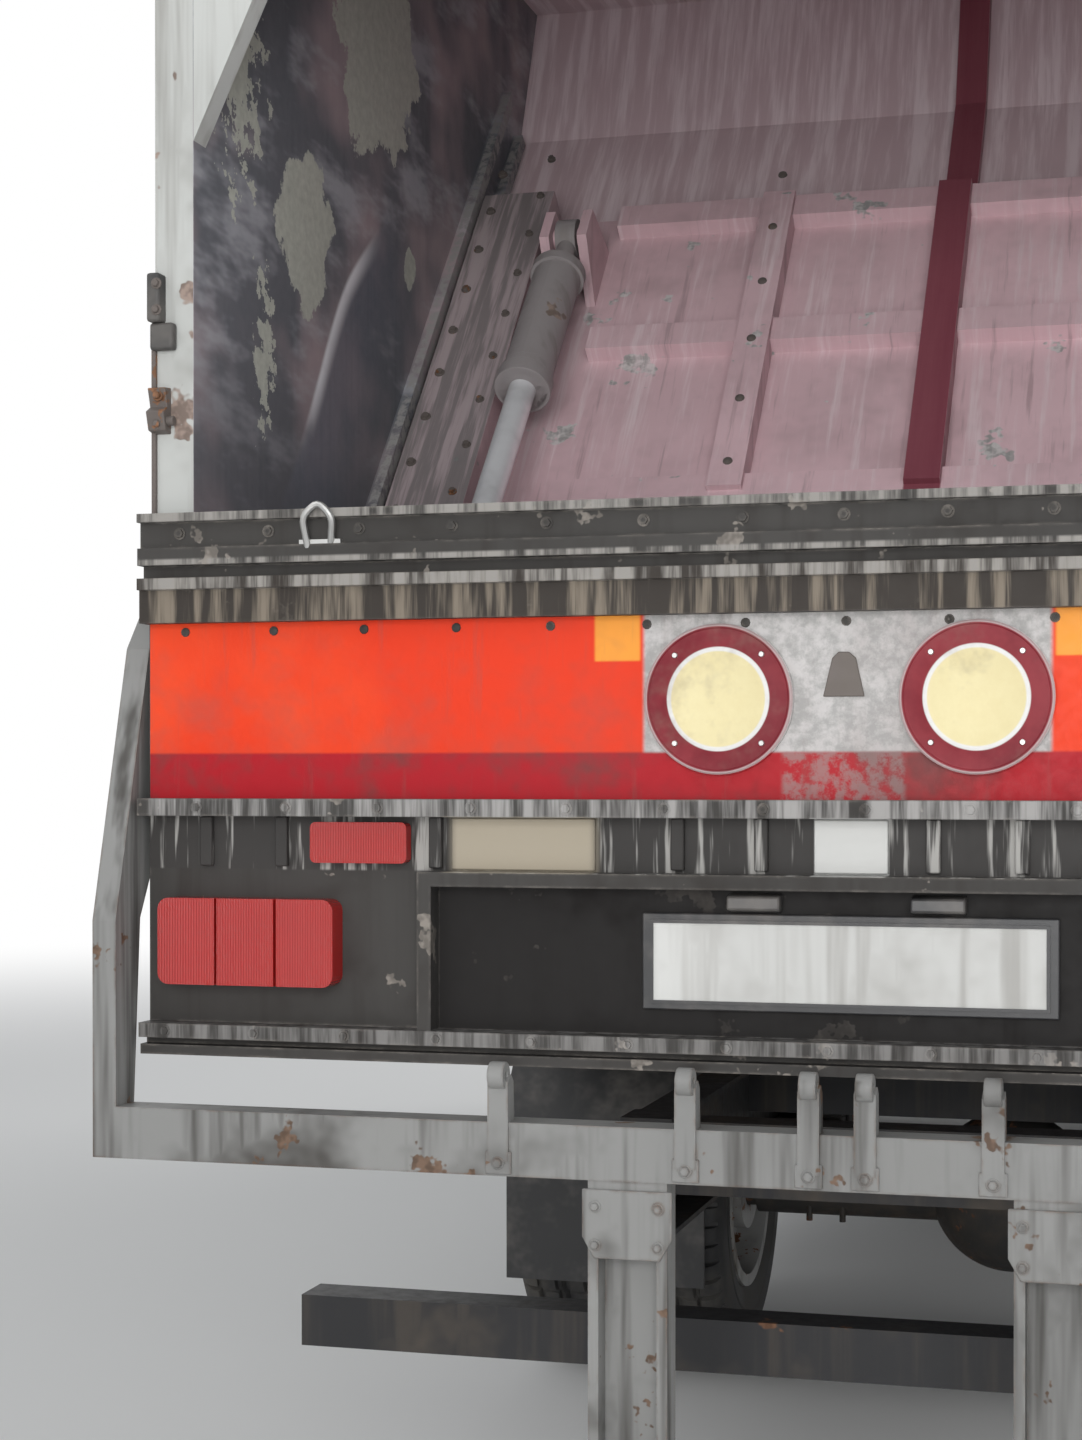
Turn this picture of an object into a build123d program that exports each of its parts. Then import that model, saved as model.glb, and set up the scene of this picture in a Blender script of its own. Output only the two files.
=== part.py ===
from build123d import *
import math
import os

os.makedirs("parts", exist_ok=True)

# A narrow two-axle rear loader in millimetres. +Y is forward, +X is the truck's right, Z = 0 is the ground.

# Overall places
LENGTH = 6700
Y_FRONT = LENGTH / 2
Y_REAR = -LENGTH / 2
GAP = 12

# Wheels and axles
AXLE_Z = 390
FRONT_Y = 2200
REAR_Y = -1150
TYRE_R = 390
RIM_R = 222
FRONT_WHEEL_X = 830
KINGPIN_X = 730
TIE_X = 665
TIE_BACK = 150
TIE_Z = 300
TWIN_X = (645, 885)
TWIN_MID_X = sum(TWIN_X) / 2

# Frame rails
RAIL_X = (330, 400)
RAIL_Z = (600, 780)
RAIL_Y = (-2850, 3080)
RAIL_PLATE = 8

# Cab
CAB_HALF = 950
CAB_SKIN = 45
CAB_REAR = 1640
CAB_TOP = 2330
CAB_PIVOT = (3190, 650)
ARCH_R = 470
TUNNEL_TOP = 1000
TUNNEL_HALF = 300
DRIVER_X = -575
CAB_FLOOR_Z = 820
DOOR_GAP = 8
DOOR_FRONT = 3010

# Load body
BODY_HALF = 960
BODY_WALL = 40
BODY_Z = (900, 2950)
BODY_FRONT = 1480
RIB_DEPTH = 28
JOINT_LOW = (-2200, 900)
JOINT_TOP = (-1500, 2950)

# Tailgate
TAIL_HALF = 990
TAIL_INNER = 931
TAIL_REAR = -3240
PANEL_REAR = -3300
TAIL_LOW = 900
PANEL_LOW = 935
SILL_Z = 1664
KINK_Z = 2195
ARCH_Z = 2560
TAIL_HINGE = (-1480, 3010)

# Packer
TROUGH = (-2580, 1560)
TROUGH_R = 620
GUIDE_LEAN = 40
CARRIAGE_REST = 150
CARRIAGE_LENGTH = 900
BLADE_LENGTH = 595
BLADE_HALF = 900

# Bin lifter
LIFT_PIVOT = (-3150, 1480)
ARM_X = (1000, 1035)
BEAM_Z = (773, 844)
BEAM_Y = (-3345, -3295)

nodes = {}


def block(x, y, z):
    """Box between (low, high) pairs."""
    size = [high - low for low, high in (x, y, z)]
    middle = [(high + low) / 2 for low, high in (x, y, z)]
    return Pos(*middle) * Box(*size)


def mirrored(shape):
    return mirror(shape, about=Plane.YZ)


def both(shape):
    """The shape and its mirror image on the truck's other side."""
    return shape + mirrored(shape)


def outline(points, radius=0):
    """A flat outline, its corners rounded where a radius is given."""
    face = Polygon(*points, align=None)
    return fillet(face.vertices(), radius) if radius else face


def across(points, x_low, x_high, radius=0):
    """A side outline of (Y, Z) points, extruded along X."""
    return extrude(Plane.YZ.offset(x_low) * outline(points, radius), x_high - x_low, dir=(1, 0, 0))


def along(points, y_low, y_high, radius=0):
    """A rear outline of (X, Z) points, extruded along Y."""
    plane = Plane(origin=(0, y_low, 0), x_dir=(1, 0, 0), z_dir=(0, -1, 0))
    return extrude(plane * outline(points, radius), y_high - y_low, dir=(0, 1, 0))


def upright(points, z_low, z_high):
    """A plan outline of (X, Y) points, extruded along Z."""
    return extrude(Plane.XY.offset(z_low) * Polygon(*points, align=None), z_high - z_low, dir=(0, 0, 1))


def rod(start, end, radius):
    """A round bar between two points."""
    start, end = Vector(start), Vector(end)
    plane = Plane(origin=start, z_dir=end - start)
    return plane * Cylinder(radius, (end - start).length, align=(Align.CENTER, Align.CENTER, Align.MIN))


def axle_bar(x_low, x_high, y, z, radius):
    """A round bar along X."""
    return rod((x_low, y, z), (x_high, y, z), radius)


def turned(points, y, z):
    """A profile of (X, radius) points, revolved about an axis along X."""
    return Pos(0, y, z) * revolve(Polygon(*points, align=None), Axis.X)


def arc_band(centre, radius, thickness, start_deg, end_deg, x_low, x_high):
    """A curved plate about an axis along X. Angles count from straight down, positive to the rear."""

    def at(r, degrees):
        angle = math.radians(degrees)
        return (centre[0] - r * math.sin(angle), centre[1] - r * math.cos(angle))

    middle = (start_deg + end_deg) / 2
    outer = radius + thickness
    edges = [
        ThreePointArc(at(radius, start_deg), at(radius, middle), at(radius, end_deg)),
        Line(at(radius, end_deg), at(outer, end_deg)),
        ThreePointArc(at(outer, end_deg), at(outer, middle), at(outer, start_deg)),
        Line(at(outer, start_deg), at(radius, start_deg)),
    ]
    face = Plane.YZ.offset(x_low) * make_face(edges)
    return extrude(face, x_high - x_low, dir=(1, 0, 0))


def guide_point(distance, depth):
    """(Y, Z) at a distance up the packer guides from the trough's centre, and a depth behind their line."""
    lean = math.radians(GUIDE_LEAN)
    y = TROUGH[0] + distance * math.sin(lean) - depth * math.cos(lean)
    z = TROUGH[1] + distance * math.cos(lean) + depth * math.sin(lean)
    return (y, z)


def guide_strip(distances, depths, x_low, x_high):
    """A bar that lies along the packer guides."""
    corners = [
        guide_point(distances[0], depths[0]),
        guide_point(distances[1], depths[0]),
        guide_point(distances[1], depths[1]),
        guide_point(distances[0], depths[1]),
    ]
    return across(corners, x_low, x_high)


def joint_y(z):
    """Y of the slanted plane where body and tailgate meet."""
    slope = (JOINT_TOP[0] - JOINT_LOW[0]) / (JOINT_TOP[1] - JOINT_LOW[1])
    return JOINT_LOW[0] + (z - JOINT_LOW[1]) * slope


def chassis_frame():
    web = RAIL_X[1] - RAIL_PLATE
    section = [
        (RAIL_X[0], RAIL_Z[0]),
        (RAIL_X[1], RAIL_Z[0]),
        (RAIL_X[1], RAIL_Z[1]),
        (RAIL_X[0], RAIL_Z[1]),
        (RAIL_X[0], RAIL_Z[1] - RAIL_PLATE),
        (web, RAIL_Z[1] - RAIL_PLATE),
        (web, RAIL_Z[0] + RAIL_PLATE),
        (RAIL_X[0], RAIL_Z[0] + RAIL_PLATE),
    ]
    frame = both(along(section, *RAIL_Y))
    cross_y = (-2780, -1900, -550, 350, 1250, 3000)
    for y in cross_y:
        frame += block((-web, web), (y - 35, y + 35), (RAIL_Z[0] + 60, RAIL_Z[1] - RAIL_PLATE))
    # Rear underrun bar on two hangers
    hanger = [(-2850, 780), (-2760, 780), (-2760, 520), (-2700, 480), (-2700, 400), (-2850, 400)]
    frame += both(across(hanger, RAIL_X[1], RAIL_X[1] + 10))
    frame += block((-930, 930), (-2850, -2770), (400, 480))
    # Cab pivot tube between two plates on the rails' front ends
    plate = [(3080, 600), (3080, 740), (3130, 740), (3205, 674), (3205, 626), (3150, 600)]
    frame += both(across(plate, RAIL_X[1] - RAIL_PLATE, RAIL_X[1] + 4))
    frame += both(axle_bar(RAIL_X[1] - RAIL_PLATE, RAIL_X[1] + 4, *CAB_PIVOT, 28))
    frame += both(across([(2960, 600), (2960, 740), (3080, 740), (3080, 600)], RAIL_X[1], RAIL_X[1] + 4))
    frame += axle_bar(-RAIL_X[1], RAIL_X[1], *CAB_PIVOT, 22)
    return frame


def leaf_spring(y_middle, half_length, z_low, z_high, leaves):
    """A leaf spring with its shackles, curved down in the middle and hung under the right rail."""
    thickness = 14
    x_low, x_high = RAIL_X[0] + 3, RAIL_X[0] + 63
    spring = None
    for n in range(leaves):
        reach = half_length * (1 - 0.16 * n)
        rise = (z_high - z_low) * (reach / half_length) ** 2
        low = z_low - thickness * n
        edges = [
            ThreePointArc((y_middle - reach, low + rise), (y_middle, low), (y_middle + reach, low + rise)),
            Line((y_middle + reach, low + rise), (y_middle + reach, low + rise - thickness)),
            ThreePointArc(
                (y_middle + reach, low + rise - thickness),
                (y_middle, low - thickness),
                (y_middle - reach, low + rise - thickness),
            ),
            Line((y_middle - reach, low + rise - thickness), (y_middle - reach, low + rise)),
        ]
        leaf = extrude(Plane.YZ.offset(x_low) * make_face(edges), x_high - x_low, dir=(1, 0, 0))
        spring = leaf if spring is None else spring + leaf
    for y in (y_middle - half_length, y_middle + half_length):
        spring += axle_bar(x_low, x_high, y, z_high - thickness / 2, 20)
        spring += block((x_low, x_high), (y - 22, y + 22), (z_high, RAIL_Z[0]))
    return spring


def front_axle():
    beam_z = (350, 430)
    eye_x = KINGPIN_X
    beam = block((-eye_x, eye_x), (FRONT_Y - 38, FRONT_Y + 38), beam_z)
    beam -= both(block((-1, eye_x - 130), (FRONT_Y + 12, FRONT_Y + 40), (beam_z[0] + 16, beam_z[1] - 16)))
    beam -= both(block((-1, eye_x - 130), (FRONT_Y - 40, FRONT_Y - 12), (beam_z[0] + 16, beam_z[1] - 16)))
    eye = Pos(eye_x, FRONT_Y, sum(beam_z) / 2) * Cylinder(40, beam_z[1] - beam_z[0])
    beam += both(eye)
    beam -= both(Pos(eye_x, FRONT_Y, sum(beam_z) / 2) * Cylinder(19, 200))
    seat = block((RAIL_X[0] + 3, RAIL_X[0] + 63), (FRONT_Y - 55, FRONT_Y + 55), (beam_z[1], beam_z[1] + 22))
    beam += both(seat)
    beam += both(leaf_spring(FRONT_Y, 560, beam_z[1] + 68, 560, 4))
    # Dampers from the beam to the rails' outer faces
    damper_x = RAIL_X[1] + 30
    beam += both(rod((damper_x, FRONT_Y + 20, beam_z[1] - 20), (damper_x, FRONT_Y + 60, 560), 26))
    beam += both(rod((damper_x, FRONT_Y + 60, 560), (damper_x, FRONT_Y + 84, 700), 14))
    beam += both(axle_bar(RAIL_X[1], damper_x + 22, FRONT_Y + 84, 700, 18))
    return beam


def rear_axle():
    axle = axle_bar(-520, 520, REAR_Y, AXLE_Z, 72)
    axle += axle_bar(-700, 700, REAR_Y, AXLE_Z, 58)
    axle += Pos(40, REAR_Y, AXLE_Z) * Sphere(175)
    axle += rod((40, REAR_Y + 100, AXLE_Z), (40, REAR_Y + 250, AXLE_Z + 12), 60)
    seat = block((RAIL_X[0] + 3, RAIL_X[0] + 63), (REAR_Y - 60, REAR_Y + 60), (AXLE_Z + 50, 482))
    axle += both(seat)
    axle += both(leaf_spring(REAR_Y, 620, 540, 570, 5))
    # Brake chambers on brackets in front of the axle
    chamber = [(REAR_Y + 90, 0), (REAR_Y + 90, 48), (REAR_Y + 150, 60), (REAR_Y + 166, 60)]
    chamber += [(REAR_Y + 226, 50), (REAR_Y + 226, 0)]
    plan = Pos(462, 0, AXLE_Z + 76) * revolve(Polygon(*[(r, y) for y, r in chamber], align=None), Axis.Y)
    bracket = block((446, 478), (REAR_Y + 30, REAR_Y + 96), (AXLE_Z + 10, AXLE_Z + 96))
    axle += both(plan + bracket)
    return axle


def tie_rod():
    arm_y = FRONT_Y - TIE_BACK
    rod_piece = axle_bar(-TIE_X, TIE_X, arm_y, TIE_Z, 15)
    for side in (-1, 1):
        rod_piece += Pos(side * TIE_X, arm_y, TIE_Z) * Cylinder(24, 34)
    return rod_piece


def knuckle():
    """The right steering knuckle: a fork round the axle's eye, stub axle, steering arm and brake plate."""
    fork = Pos(KINGPIN_X, FRONT_Y, 452) * Cylinder(40, 32)
    fork += Pos(KINGPIN_X, FRONT_Y, 328) * Cylinder(40, 32)
    fork += Pos(KINGPIN_X, FRONT_Y, AXLE_Z) * Cylinder(18, 150)
    fork += block((KINGPIN_X, KINGPIN_X + 62), (FRONT_Y - 36, FRONT_Y + 36), (436, 468))
    fork += block((KINGPIN_X, KINGPIN_X + 62), (FRONT_Y - 36, FRONT_Y + 36), (312, 344))
    fork += block((KINGPIN_X + 46, KINGPIN_X + 62), (FRONT_Y - 60, FRONT_Y + 60), (312, 468))
    fork += axle_bar(KINGPIN_X + 62, KINGPIN_X + 74, FRONT_Y, AXLE_Z, 165)
    fork += axle_bar(KINGPIN_X + 62, KINGPIN_X + 150, FRONT_Y, AXLE_Z, 32)
    # The arm ends over the tie rod's eye
    arm_end = (TIE_X, FRONT_Y - TIE_BACK)
    arm = [
        (KINGPIN_X + 30, FRONT_Y - 10),
        (KINGPIN_X - 34, FRONT_Y - 6),
        (arm_end[0] - 24, arm_end[1]),
        (arm_end[0] + 24, arm_end[1]),
    ]
    fork += upright(arm, 322, 344)
    fork += Pos(*arm_end, 333) * Cylinder(24, 22)
    return fork


def tyre(x_middle, y):
    half, r = 110, TYRE_R
    section = [
        (-half + 14, RIM_R),
        (-half + 14, RIM_R + 18),
        (-half + 2, RIM_R + 40),
        (-half, r - 74),
        (-half + 8, r - 30),
        (-half + 30, r - 6),
        (-half + 52, r),
        (half - 52, r),
        (half - 30, r - 6),
        (half - 8, r - 30),
        (half, r - 74),
        (half - 2, RIM_R + 40),
        (half - 14, RIM_R + 18),
        (half - 14, RIM_R),
    ]
    return turned([(x_middle + x, radius) for x, radius in section], y, AXLE_Z)


def rim_barrel(x_middle, y):
    half = 96
    section = [
        (-half - 8, RIM_R + 16),
        (-half, RIM_R + 16),
        (-half, RIM_R),
        (half, RIM_R),
        (half, RIM_R + 16),
        (half + 8, RIM_R + 16),
        (half + 8, RIM_R - 10),
        (40, RIM_R - 10),
        (30, RIM_R - 22),
        (-30, RIM_R - 22),
        (-40, RIM_R - 10),
        (-half - 8, RIM_R - 10),
    ]
    return turned([(x_middle + x, radius) for x, radius in section], y, AXLE_Z)


def hand_holes(x_low, x_high, y):
    holes = None
    count, ring = 8, 158
    for n in range(count):
        angle = 2 * math.pi * (n + 0.5) / count
        hole = axle_bar(x_low, x_high, y + ring * math.cos(angle), AXLE_Z + ring * math.sin(angle), 22)
        holes = hole if holes is None else holes + hole
    return holes


def front_rim():
    x = FRONT_WHEEL_X
    rim = rim_barrel(x, FRONT_Y)
    dish = [
        (x + 20, RIM_R - 20),
        (x + 34, RIM_R - 20),
        (x + 74, 135),
        (x + 74, 95),
        (x + 62, 95),
        (x + 62, 130),
    ]
    rim += turned(dish, FRONT_Y, AXLE_Z)
    rim -= hand_holes(x, x + 100, FRONT_Y)
    hub = [
        (x - 18, 34),
        (x - 18, 100),
        (x + 62, 100),
        (x + 86, 92),
        (x + 100, 60),
        (x + 104, 0),
        (x + 58, 0),
        (x + 58, 34),
    ]
    return rim + turned(hub, FRONT_Y, AXLE_Z)


def rear_rim():
    """Two barrels bolted back to back on one hub, as a twin wheel is."""
    rim = rim_barrel(TWIN_X[0], REAR_Y) + rim_barrel(TWIN_X[1], REAR_Y)
    mid = TWIN_MID_X
    outer_dish = [
        (mid, 95),
        (mid, 140),
        (mid + 52, RIM_R - 14),
        (mid + 52, RIM_R - 4),
        (mid + 68, RIM_R - 4),
        (mid + 14, 132),
        (mid + 14, 95),
    ]
    inner_dish = [(2 * mid - x, radius) for x, radius in outer_dish]
    rim += turned(outer_dish, REAR_Y, AXLE_Z) + turned(inner_dish, REAR_Y, AXLE_Z)
    rim -= hand_holes(mid - 90, mid + 90, REAR_Y)
    hub = [
        (545, 60),
        (545, 110),
        (mid + 20, 110),
        (mid + 60, 100),
        (mid + 150, 78),
        (mid + 160, 60),
        (mid + 160, 0),
        (712, 0),
        (712, 60),
    ]
    return rim + turned(hub, REAR_Y, AXLE_Z)


def engine():
    return block((-260, 260), (2020, 2880), (500, 950))


def driveline():
    gearbox = [(2020, 520), (2020, 800), (1820, 760), (1560, 700), (1560, 540)]
    piece = across(gearbox, -150, 150)
    piece += rod((40, 1560, 620), (40, REAR_Y + 256, AXLE_Z + 12), 42)
    return piece


def fuel_tank():
    tank = block((-830, -430), (300, 1100), (420, 760))
    tank = fillet(tank.edges().filter_by(Axis.Y), 50)
    tank += Pos(-700, 1000, 775) * Cylinder(40, 30)
    for y in (480, 920):
        tank += block((-430, -RAIL_X[1]), (y - 30, y + 30), (600, 740))
    return tank


def battery_box():
    box = block((430, 800), (650, 1150), (450, 740))
    box = chamfer(box.edges().filter_by(Axis.Y).sort_by(Axis.Z)[-2:], 20)
    box += block((440, 790), (680, 1120), (740, 756))
    for y in (750, 1050):
        box += block((RAIL_X[1], 430), (y - 30, y + 30), (600, 720))
    return box


def silencer():
    piece = rod((620, -350, 560), (620, 450, 560), 115)
    piece += rod((560, 450, 560), (560, 560, 560), 34)
    piece += rod((660, -350, 560), (660, -480, 560), 34)
    for y in (-150, 250):
        piece += block((RAIL_X[1], 530), (y - 20, y + 20), (600, 650))
    return piece


def rear_mudguards():
    guard = arc_band((REAR_Y, AXLE_Z), 436, 6, 112, 248, 525, 1000)
    guard += block((700, 730), (REAR_Y - 40, REAR_Y + 40), (AXLE_Z + 438, BODY_Z[0]))
    flap_y = REAR_Y - 436 * math.sin(math.radians(68))
    guard += block((560, 990), (flap_y - 14, flap_y - 4), (230, 560))
    return both(guard)


def side_guards():
    guard = None
    for z in ((450, 530), (630, 710)):
        rail = block((905, 935), (-560, 1560), z)
        guard = rail if guard is None else guard + rail
    for y in (-480, 150, 780, 1440):
        guard += block((865, 905), (y - 25, y + 25), (450, BODY_Z[0] - 50))
    return both(guard)


def front_bumper():
    plan = [
        (0, Y_FRONT - 60),
        (0, Y_FRONT),
        (700, Y_FRONT),
        (880, Y_FRONT - 40),
        (950, Y_FRONT - 130),
        (950, Y_FRONT - 330),
        (900, Y_FRONT - 330),
        (900, Y_FRONT - 150),
        (840, Y_FRONT - 92),
        (690, Y_FRONT - 60),
    ]
    bumper = both(upright(plan, 380, 600))
    bumper += both(block((RAIL_X[1] - 60, RAIL_X[1] + 4), (3240, Y_FRONT - 50), (420, 600)))
    bumper += both(block((RAIL_X[1] - 60, RAIL_X[1] - 8), (3080, 3250), (540, 600)))
    bumper += both(block((RAIL_X[0], RAIL_X[1] - 8), (3000, 3090), (540, 600)))
    # Fog lamp recesses and the towing eye's bore
    bumper -= both(block((640, 780), (Y_FRONT - 20, Y_FRONT + 1), (430, 520)))
    bumper += block((-45, 45), (Y_FRONT - 60, Y_FRONT), (400, 580))
    bumper -= block((-46, 46), (Y_FRONT - 46, Y_FRONT + 1), (430, 540))
    bumper -= Pos(0, Y_FRONT - 25, 490) * Cylinder(16, 260)
    return bumper


CAB_OUTLINE = [
    (CAB_REAR, 620),
    (3190, 620),
    (3250, 700),
    (3285, 1250),
    (3240, 1480),
    (3010, 2180),
    (2880, CAB_TOP),
    (CAB_REAR, CAB_TOP),
]
DOOR_OUTLINE = [(2110, 880), (DOOR_FRONT, 880), (DOOR_FRONT, 1500), (2850, 2200), (2110, 2200)]
DOOR_WINDOW = [(2190, 1500), (2940, 1500), (2790, 2110), (2190, 2110)]
WINDSCREEN = [(-830, 1560), (830, 1560), (800, 2110), (-800, 2110)]
REAR_WINDOW = [(-640, 1520), (640, 1520), (640, 2060), (-640, 2060)]
CAB_CORNER = 80
DOOR_CORNER = 55
WINDOW_CORNER = 45
SCREEN_CORNER = 70


def cab_solid(half, inset):
    """The cab's outside (inset 0), or the room inside its skin."""
    face = outline(CAB_OUTLINE)
    if inset:
        face = offset(face, -inset, kind=Kind.INTERSECTION)
    solid = extrude(Plane.YZ.offset(-half) * face, 2 * half, dir=(1, 0, 0))
    ends = [edge for edge in solid.edges() if abs(edge.center().X) > half - 1]
    corners = [edge for edge in ends if edge.center().Z > 800 and edge.center().Y > CAB_REAR + inset + 10]
    solid = fillet(corners, CAB_CORNER - inset)
    well = axle_bar(480 - inset, half + 1, FRONT_Y, AXLE_Z, ARCH_R + inset)
    solid -= both(well)
    low_tunnel = block((-480 - inset, 480 + inset), (CAB_REAR - 1, 3225 + inset), (600, CAB_FLOOR_Z + inset))
    high_half = TUNNEL_HALF + inset
    high_tunnel = block((-high_half, high_half), (CAB_REAR - 1, 2960 + inset), (600, TUNNEL_TOP + inset))
    return solid - low_tunnel - high_tunnel


def cab_shell():
    room = cab_solid(CAB_HALF - CAB_SKIN, CAB_SKIN)
    shell = cab_solid(CAB_HALF, 0) - room
    shell -= along(WINDSCREEN, 2800, 3400, SCREEN_CORNER)
    shell -= along(REAR_WINDOW, CAB_REAR - 1, CAB_REAR + CAB_SKIN + 1, SCREEN_CORNER)
    shell -= both(across(DOOR_OUTLINE, CAB_HALF - CAB_SKIN - 1, CAB_HALF + 1, DOOR_CORNER))
    # Entry steps below the doors
    shell -= both(block((CAB_HALF - 160, CAB_HALF + 1), (2760, 3060), (665, 800)))
    step = block((CAB_HALF - 205, CAB_HALF), (2715, 3105), (620, 845))
    step -= block((CAB_HALF - 160, CAB_HALF + 1), (2760, 3060), (665, 800))
    shell += both(step)
    # Tilt lugs round the pivot tube
    lug = [(3150, 655), (3165, 620), (3190, 612), (3215, 620), (3230, 655), (3230, 825), (3150, 825)]
    lug_plate = across(lug, 250, 290) - axle_bar(249, 291, *CAB_PIVOT, 23)
    shell += both(lug_plate)
    return shell


def door_glass():
    inner = CAB_HALF - 26
    return across(DOOR_WINDOW, inner, inner + 6, WINDOW_CORNER)


def cab_glass():
    """Windscreen, set back in the slanted front, and rear window."""
    slope = (3010 - 3240) / (2180 - 1480)
    low, high = WINDSCREEN[0][1], WINDSCREEN[2][1]
    y_low = 3240 + (low - 1480) * slope - 24
    y_high = 3240 + (high - 1480) * slope - 24
    sheet = across([(y_low, low), (y_low + 6, low), (y_high + 6, high), (y_high, high)], -830, 830)
    glass = sheet & along(WINDSCREEN, 2800, 3400, SCREEN_CORNER)
    return glass + along(REAR_WINDOW, CAB_REAR + 18, CAB_REAR + 24, SCREEN_CORNER)


def cab_door():
    """The right door, its edges a gap inside the opening, with a swaged lower panel and a pull handle."""
    face = offset(outline(DOOR_OUTLINE, DOOR_CORNER), -DOOR_GAP)
    door = extrude(Plane.YZ.offset(CAB_HALF - CAB_SKIN) * face, CAB_SKIN, dir=(1, 0, 0))
    door -= across(DOOR_WINDOW, CAB_HALF - CAB_SKIN - 1, CAB_HALF + 1, WINDOW_CORNER)
    swage = [(2200, 980), (2920, 980), (2920, 1060), (2200, 1060)]
    door -= across(swage, CAB_HALF - 6, CAB_HALF + 1, 25)
    handle = block((CAB_HALF, CAB_HALF + 22), (2170, 2330), (1385, 1415))
    handle -= block((CAB_HALF, CAB_HALF + 12), (2190, 2310), (1380, 1420))
    door += handle
    for z in (1000, 1400):
        door += Pos(CAB_HALF + 6, DOOR_FRONT - DOOR_GAP, z) * Cylinder(8, 60)
    return door


def cab_inside():
    """Dashboard, steering column and wheel, and the pedals' footwell wall."""
    dash = [(2960, 1130), (3260, 1050), (3300, 1380), (3150, 1440), (2980, 1400)]
    piece = across(dash, -CAB_HALF, CAB_HALF) & cab_solid(CAB_HALF - CAB_SKIN, CAB_SKIN)
    column_low, column_top = Vector(DRIVER_X, 2985, 1330), Vector(DRIVER_X, 2740, 1470)
    piece += rod(column_low, column_top, 22)
    axis = (column_top - column_low).normalized()
    wheel_plane = Plane(origin=column_top, x_dir=(1, 0, 0), z_dir=axis)
    piece += wheel_plane * Torus(195, 13)
    piece += wheel_plane * Box(390, 30, 14)
    piece += wheel_plane * Cylinder(45, 30)
    return piece


def seats():
    """Driver's seat, middle seat on the engine tunnel and passenger's seat, cut to the floor below them."""
    room = cab_solid(CAB_HALF - CAB_SKIN, CAB_SKIN)
    row = None
    for x, width in ((DRIVER_X, 440), (0, 400), (-DRIVER_X, 440)):
        sides = (x - width / 2, x + width / 2)
        profile = [(1800, 1040), (1960, 840), (2440, 840), (2480, 1190)]
        profile += [(2030, 1170), (1900, 1800), (1780, 1800)]
        seat = across(profile, *sides) & room
        row = seat if row is None else row + seat
    return row


def front_grille():
    """A frame and slats on the cab's front panel."""
    surface = 3274
    frame = block((-520, 520), (surface - 20, surface + 26), (900, 1140))
    frame -= block((-495, 495), (surface + 5, surface + 30), (920, 1120))
    count, pitch = 5, 38
    for n in range(count):
        z = 945 + n * pitch
        frame += block((-495, 495), (surface - 20, surface + 20), (z - 9, z + 9))
    return frame - cab_solid(CAB_HALF, 0)


def head_lamps():
    """Wide lamps with rounded ends, and an indicator lamp outboard of each."""
    lamp = along([(590, 745), (795, 745), (795, 875), (590, 875)], 3230, 3300, 28)
    indicator = along([(807, 745), (875, 752), (875, 868), (807, 875)], 3220, 3296, 14)
    return both(lamp + indicator - cab_solid(CAB_HALF, 0))


def mirrors():
    housing = block((990, 1140), (3110, 3170), (1560, 1900))
    housing = fillet(housing.edges().filter_by(Axis.Y), 30)
    arm = rod((940, 3100, 1480), (1060, 3140, 1480), 11) + rod((1060, 3140, 1480), (1060, 3140, 1990), 11)
    arm += rod((1060, 3140, 1990), (940, 3030, 1990), 11)
    shell = cab_solid(CAB_HALF, 0)
    return both(housing + arm - shell)


def beacon():
    piece = Pos(0, 2100, CAB_TOP + 15) * Cylinder(95, 30)
    return piece + Pos(0, 2100, CAB_TOP + 80) * Cone(75, 60, 100)


def body_panel_outline(z_low, z_high):
    """(Y, Z) outline between the front wall and the slanted rear edge."""
    return [(joint_y(z_low), z_low), (BODY_FRONT, z_low), (BODY_FRONT, z_high), (joint_y(z_high), z_high)]


def body_side():
    """The right side: a flat wall with upright ribs, two long rails and the slanted rear frame."""
    inner = BODY_HALF - BODY_WALL
    low, high = BODY_Z[0] + BODY_WALL, BODY_Z[1] - BODY_WALL
    side = across(body_panel_outline(low, high), inner, BODY_HALF)
    outside = BODY_HALF + RIB_DEPTH
    rib_span, rib_width = (-1300, 1300), 64
    rib_count = 6
    for n in range(rib_count):
        y = rib_span[0] + n * (rib_span[1] - rib_span[0]) / (rib_count - 1)
        rib = [(y - rib_width / 2, low + 90), (y + rib_width / 2, low + 90)]
        rib += [(y + rib_width / 2, high - 70), (y - rib_width / 2, high - 70)]
        side += across(rib, BODY_HALF, outside)
    side += across(body_panel_outline(low, low + 90), BODY_HALF, outside)
    side += across(body_panel_outline(high - 70, high), BODY_HALF, outside)
    edge = [
        (joint_y(low + 90), low + 90),
        (joint_y(low + 90) + 110, low + 90),
        (joint_y(high - 70) + 110, high - 70),
        (joint_y(high - 70), high - 70),
    ]
    side += across(edge, BODY_HALF, outside)
    # Boss that carries the lift cylinder's lower end
    side += axle_bar(BODY_HALF, 992, *CYLINDER_FOOT, 60)
    side += axle_bar(992, 1066, *CYLINDER_FOOT, 14)
    return side


def body_floor():
    half = BODY_HALF + RIB_DEPTH
    floor = across(body_panel_outline(BODY_Z[0], BODY_Z[0] + BODY_WALL), -half, half)
    for y in (-2000, -1650, -650, -170, 300, 780, 1250):
        floor += block((-BODY_HALF, BODY_HALF), (y - 30, y + 30), (BODY_Z[0] - 45, BODY_Z[0]))
    floor += both(block(RAIL_X, (-2150, 1450), (RAIL_Z[1], BODY_Z[0])))
    return floor


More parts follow.
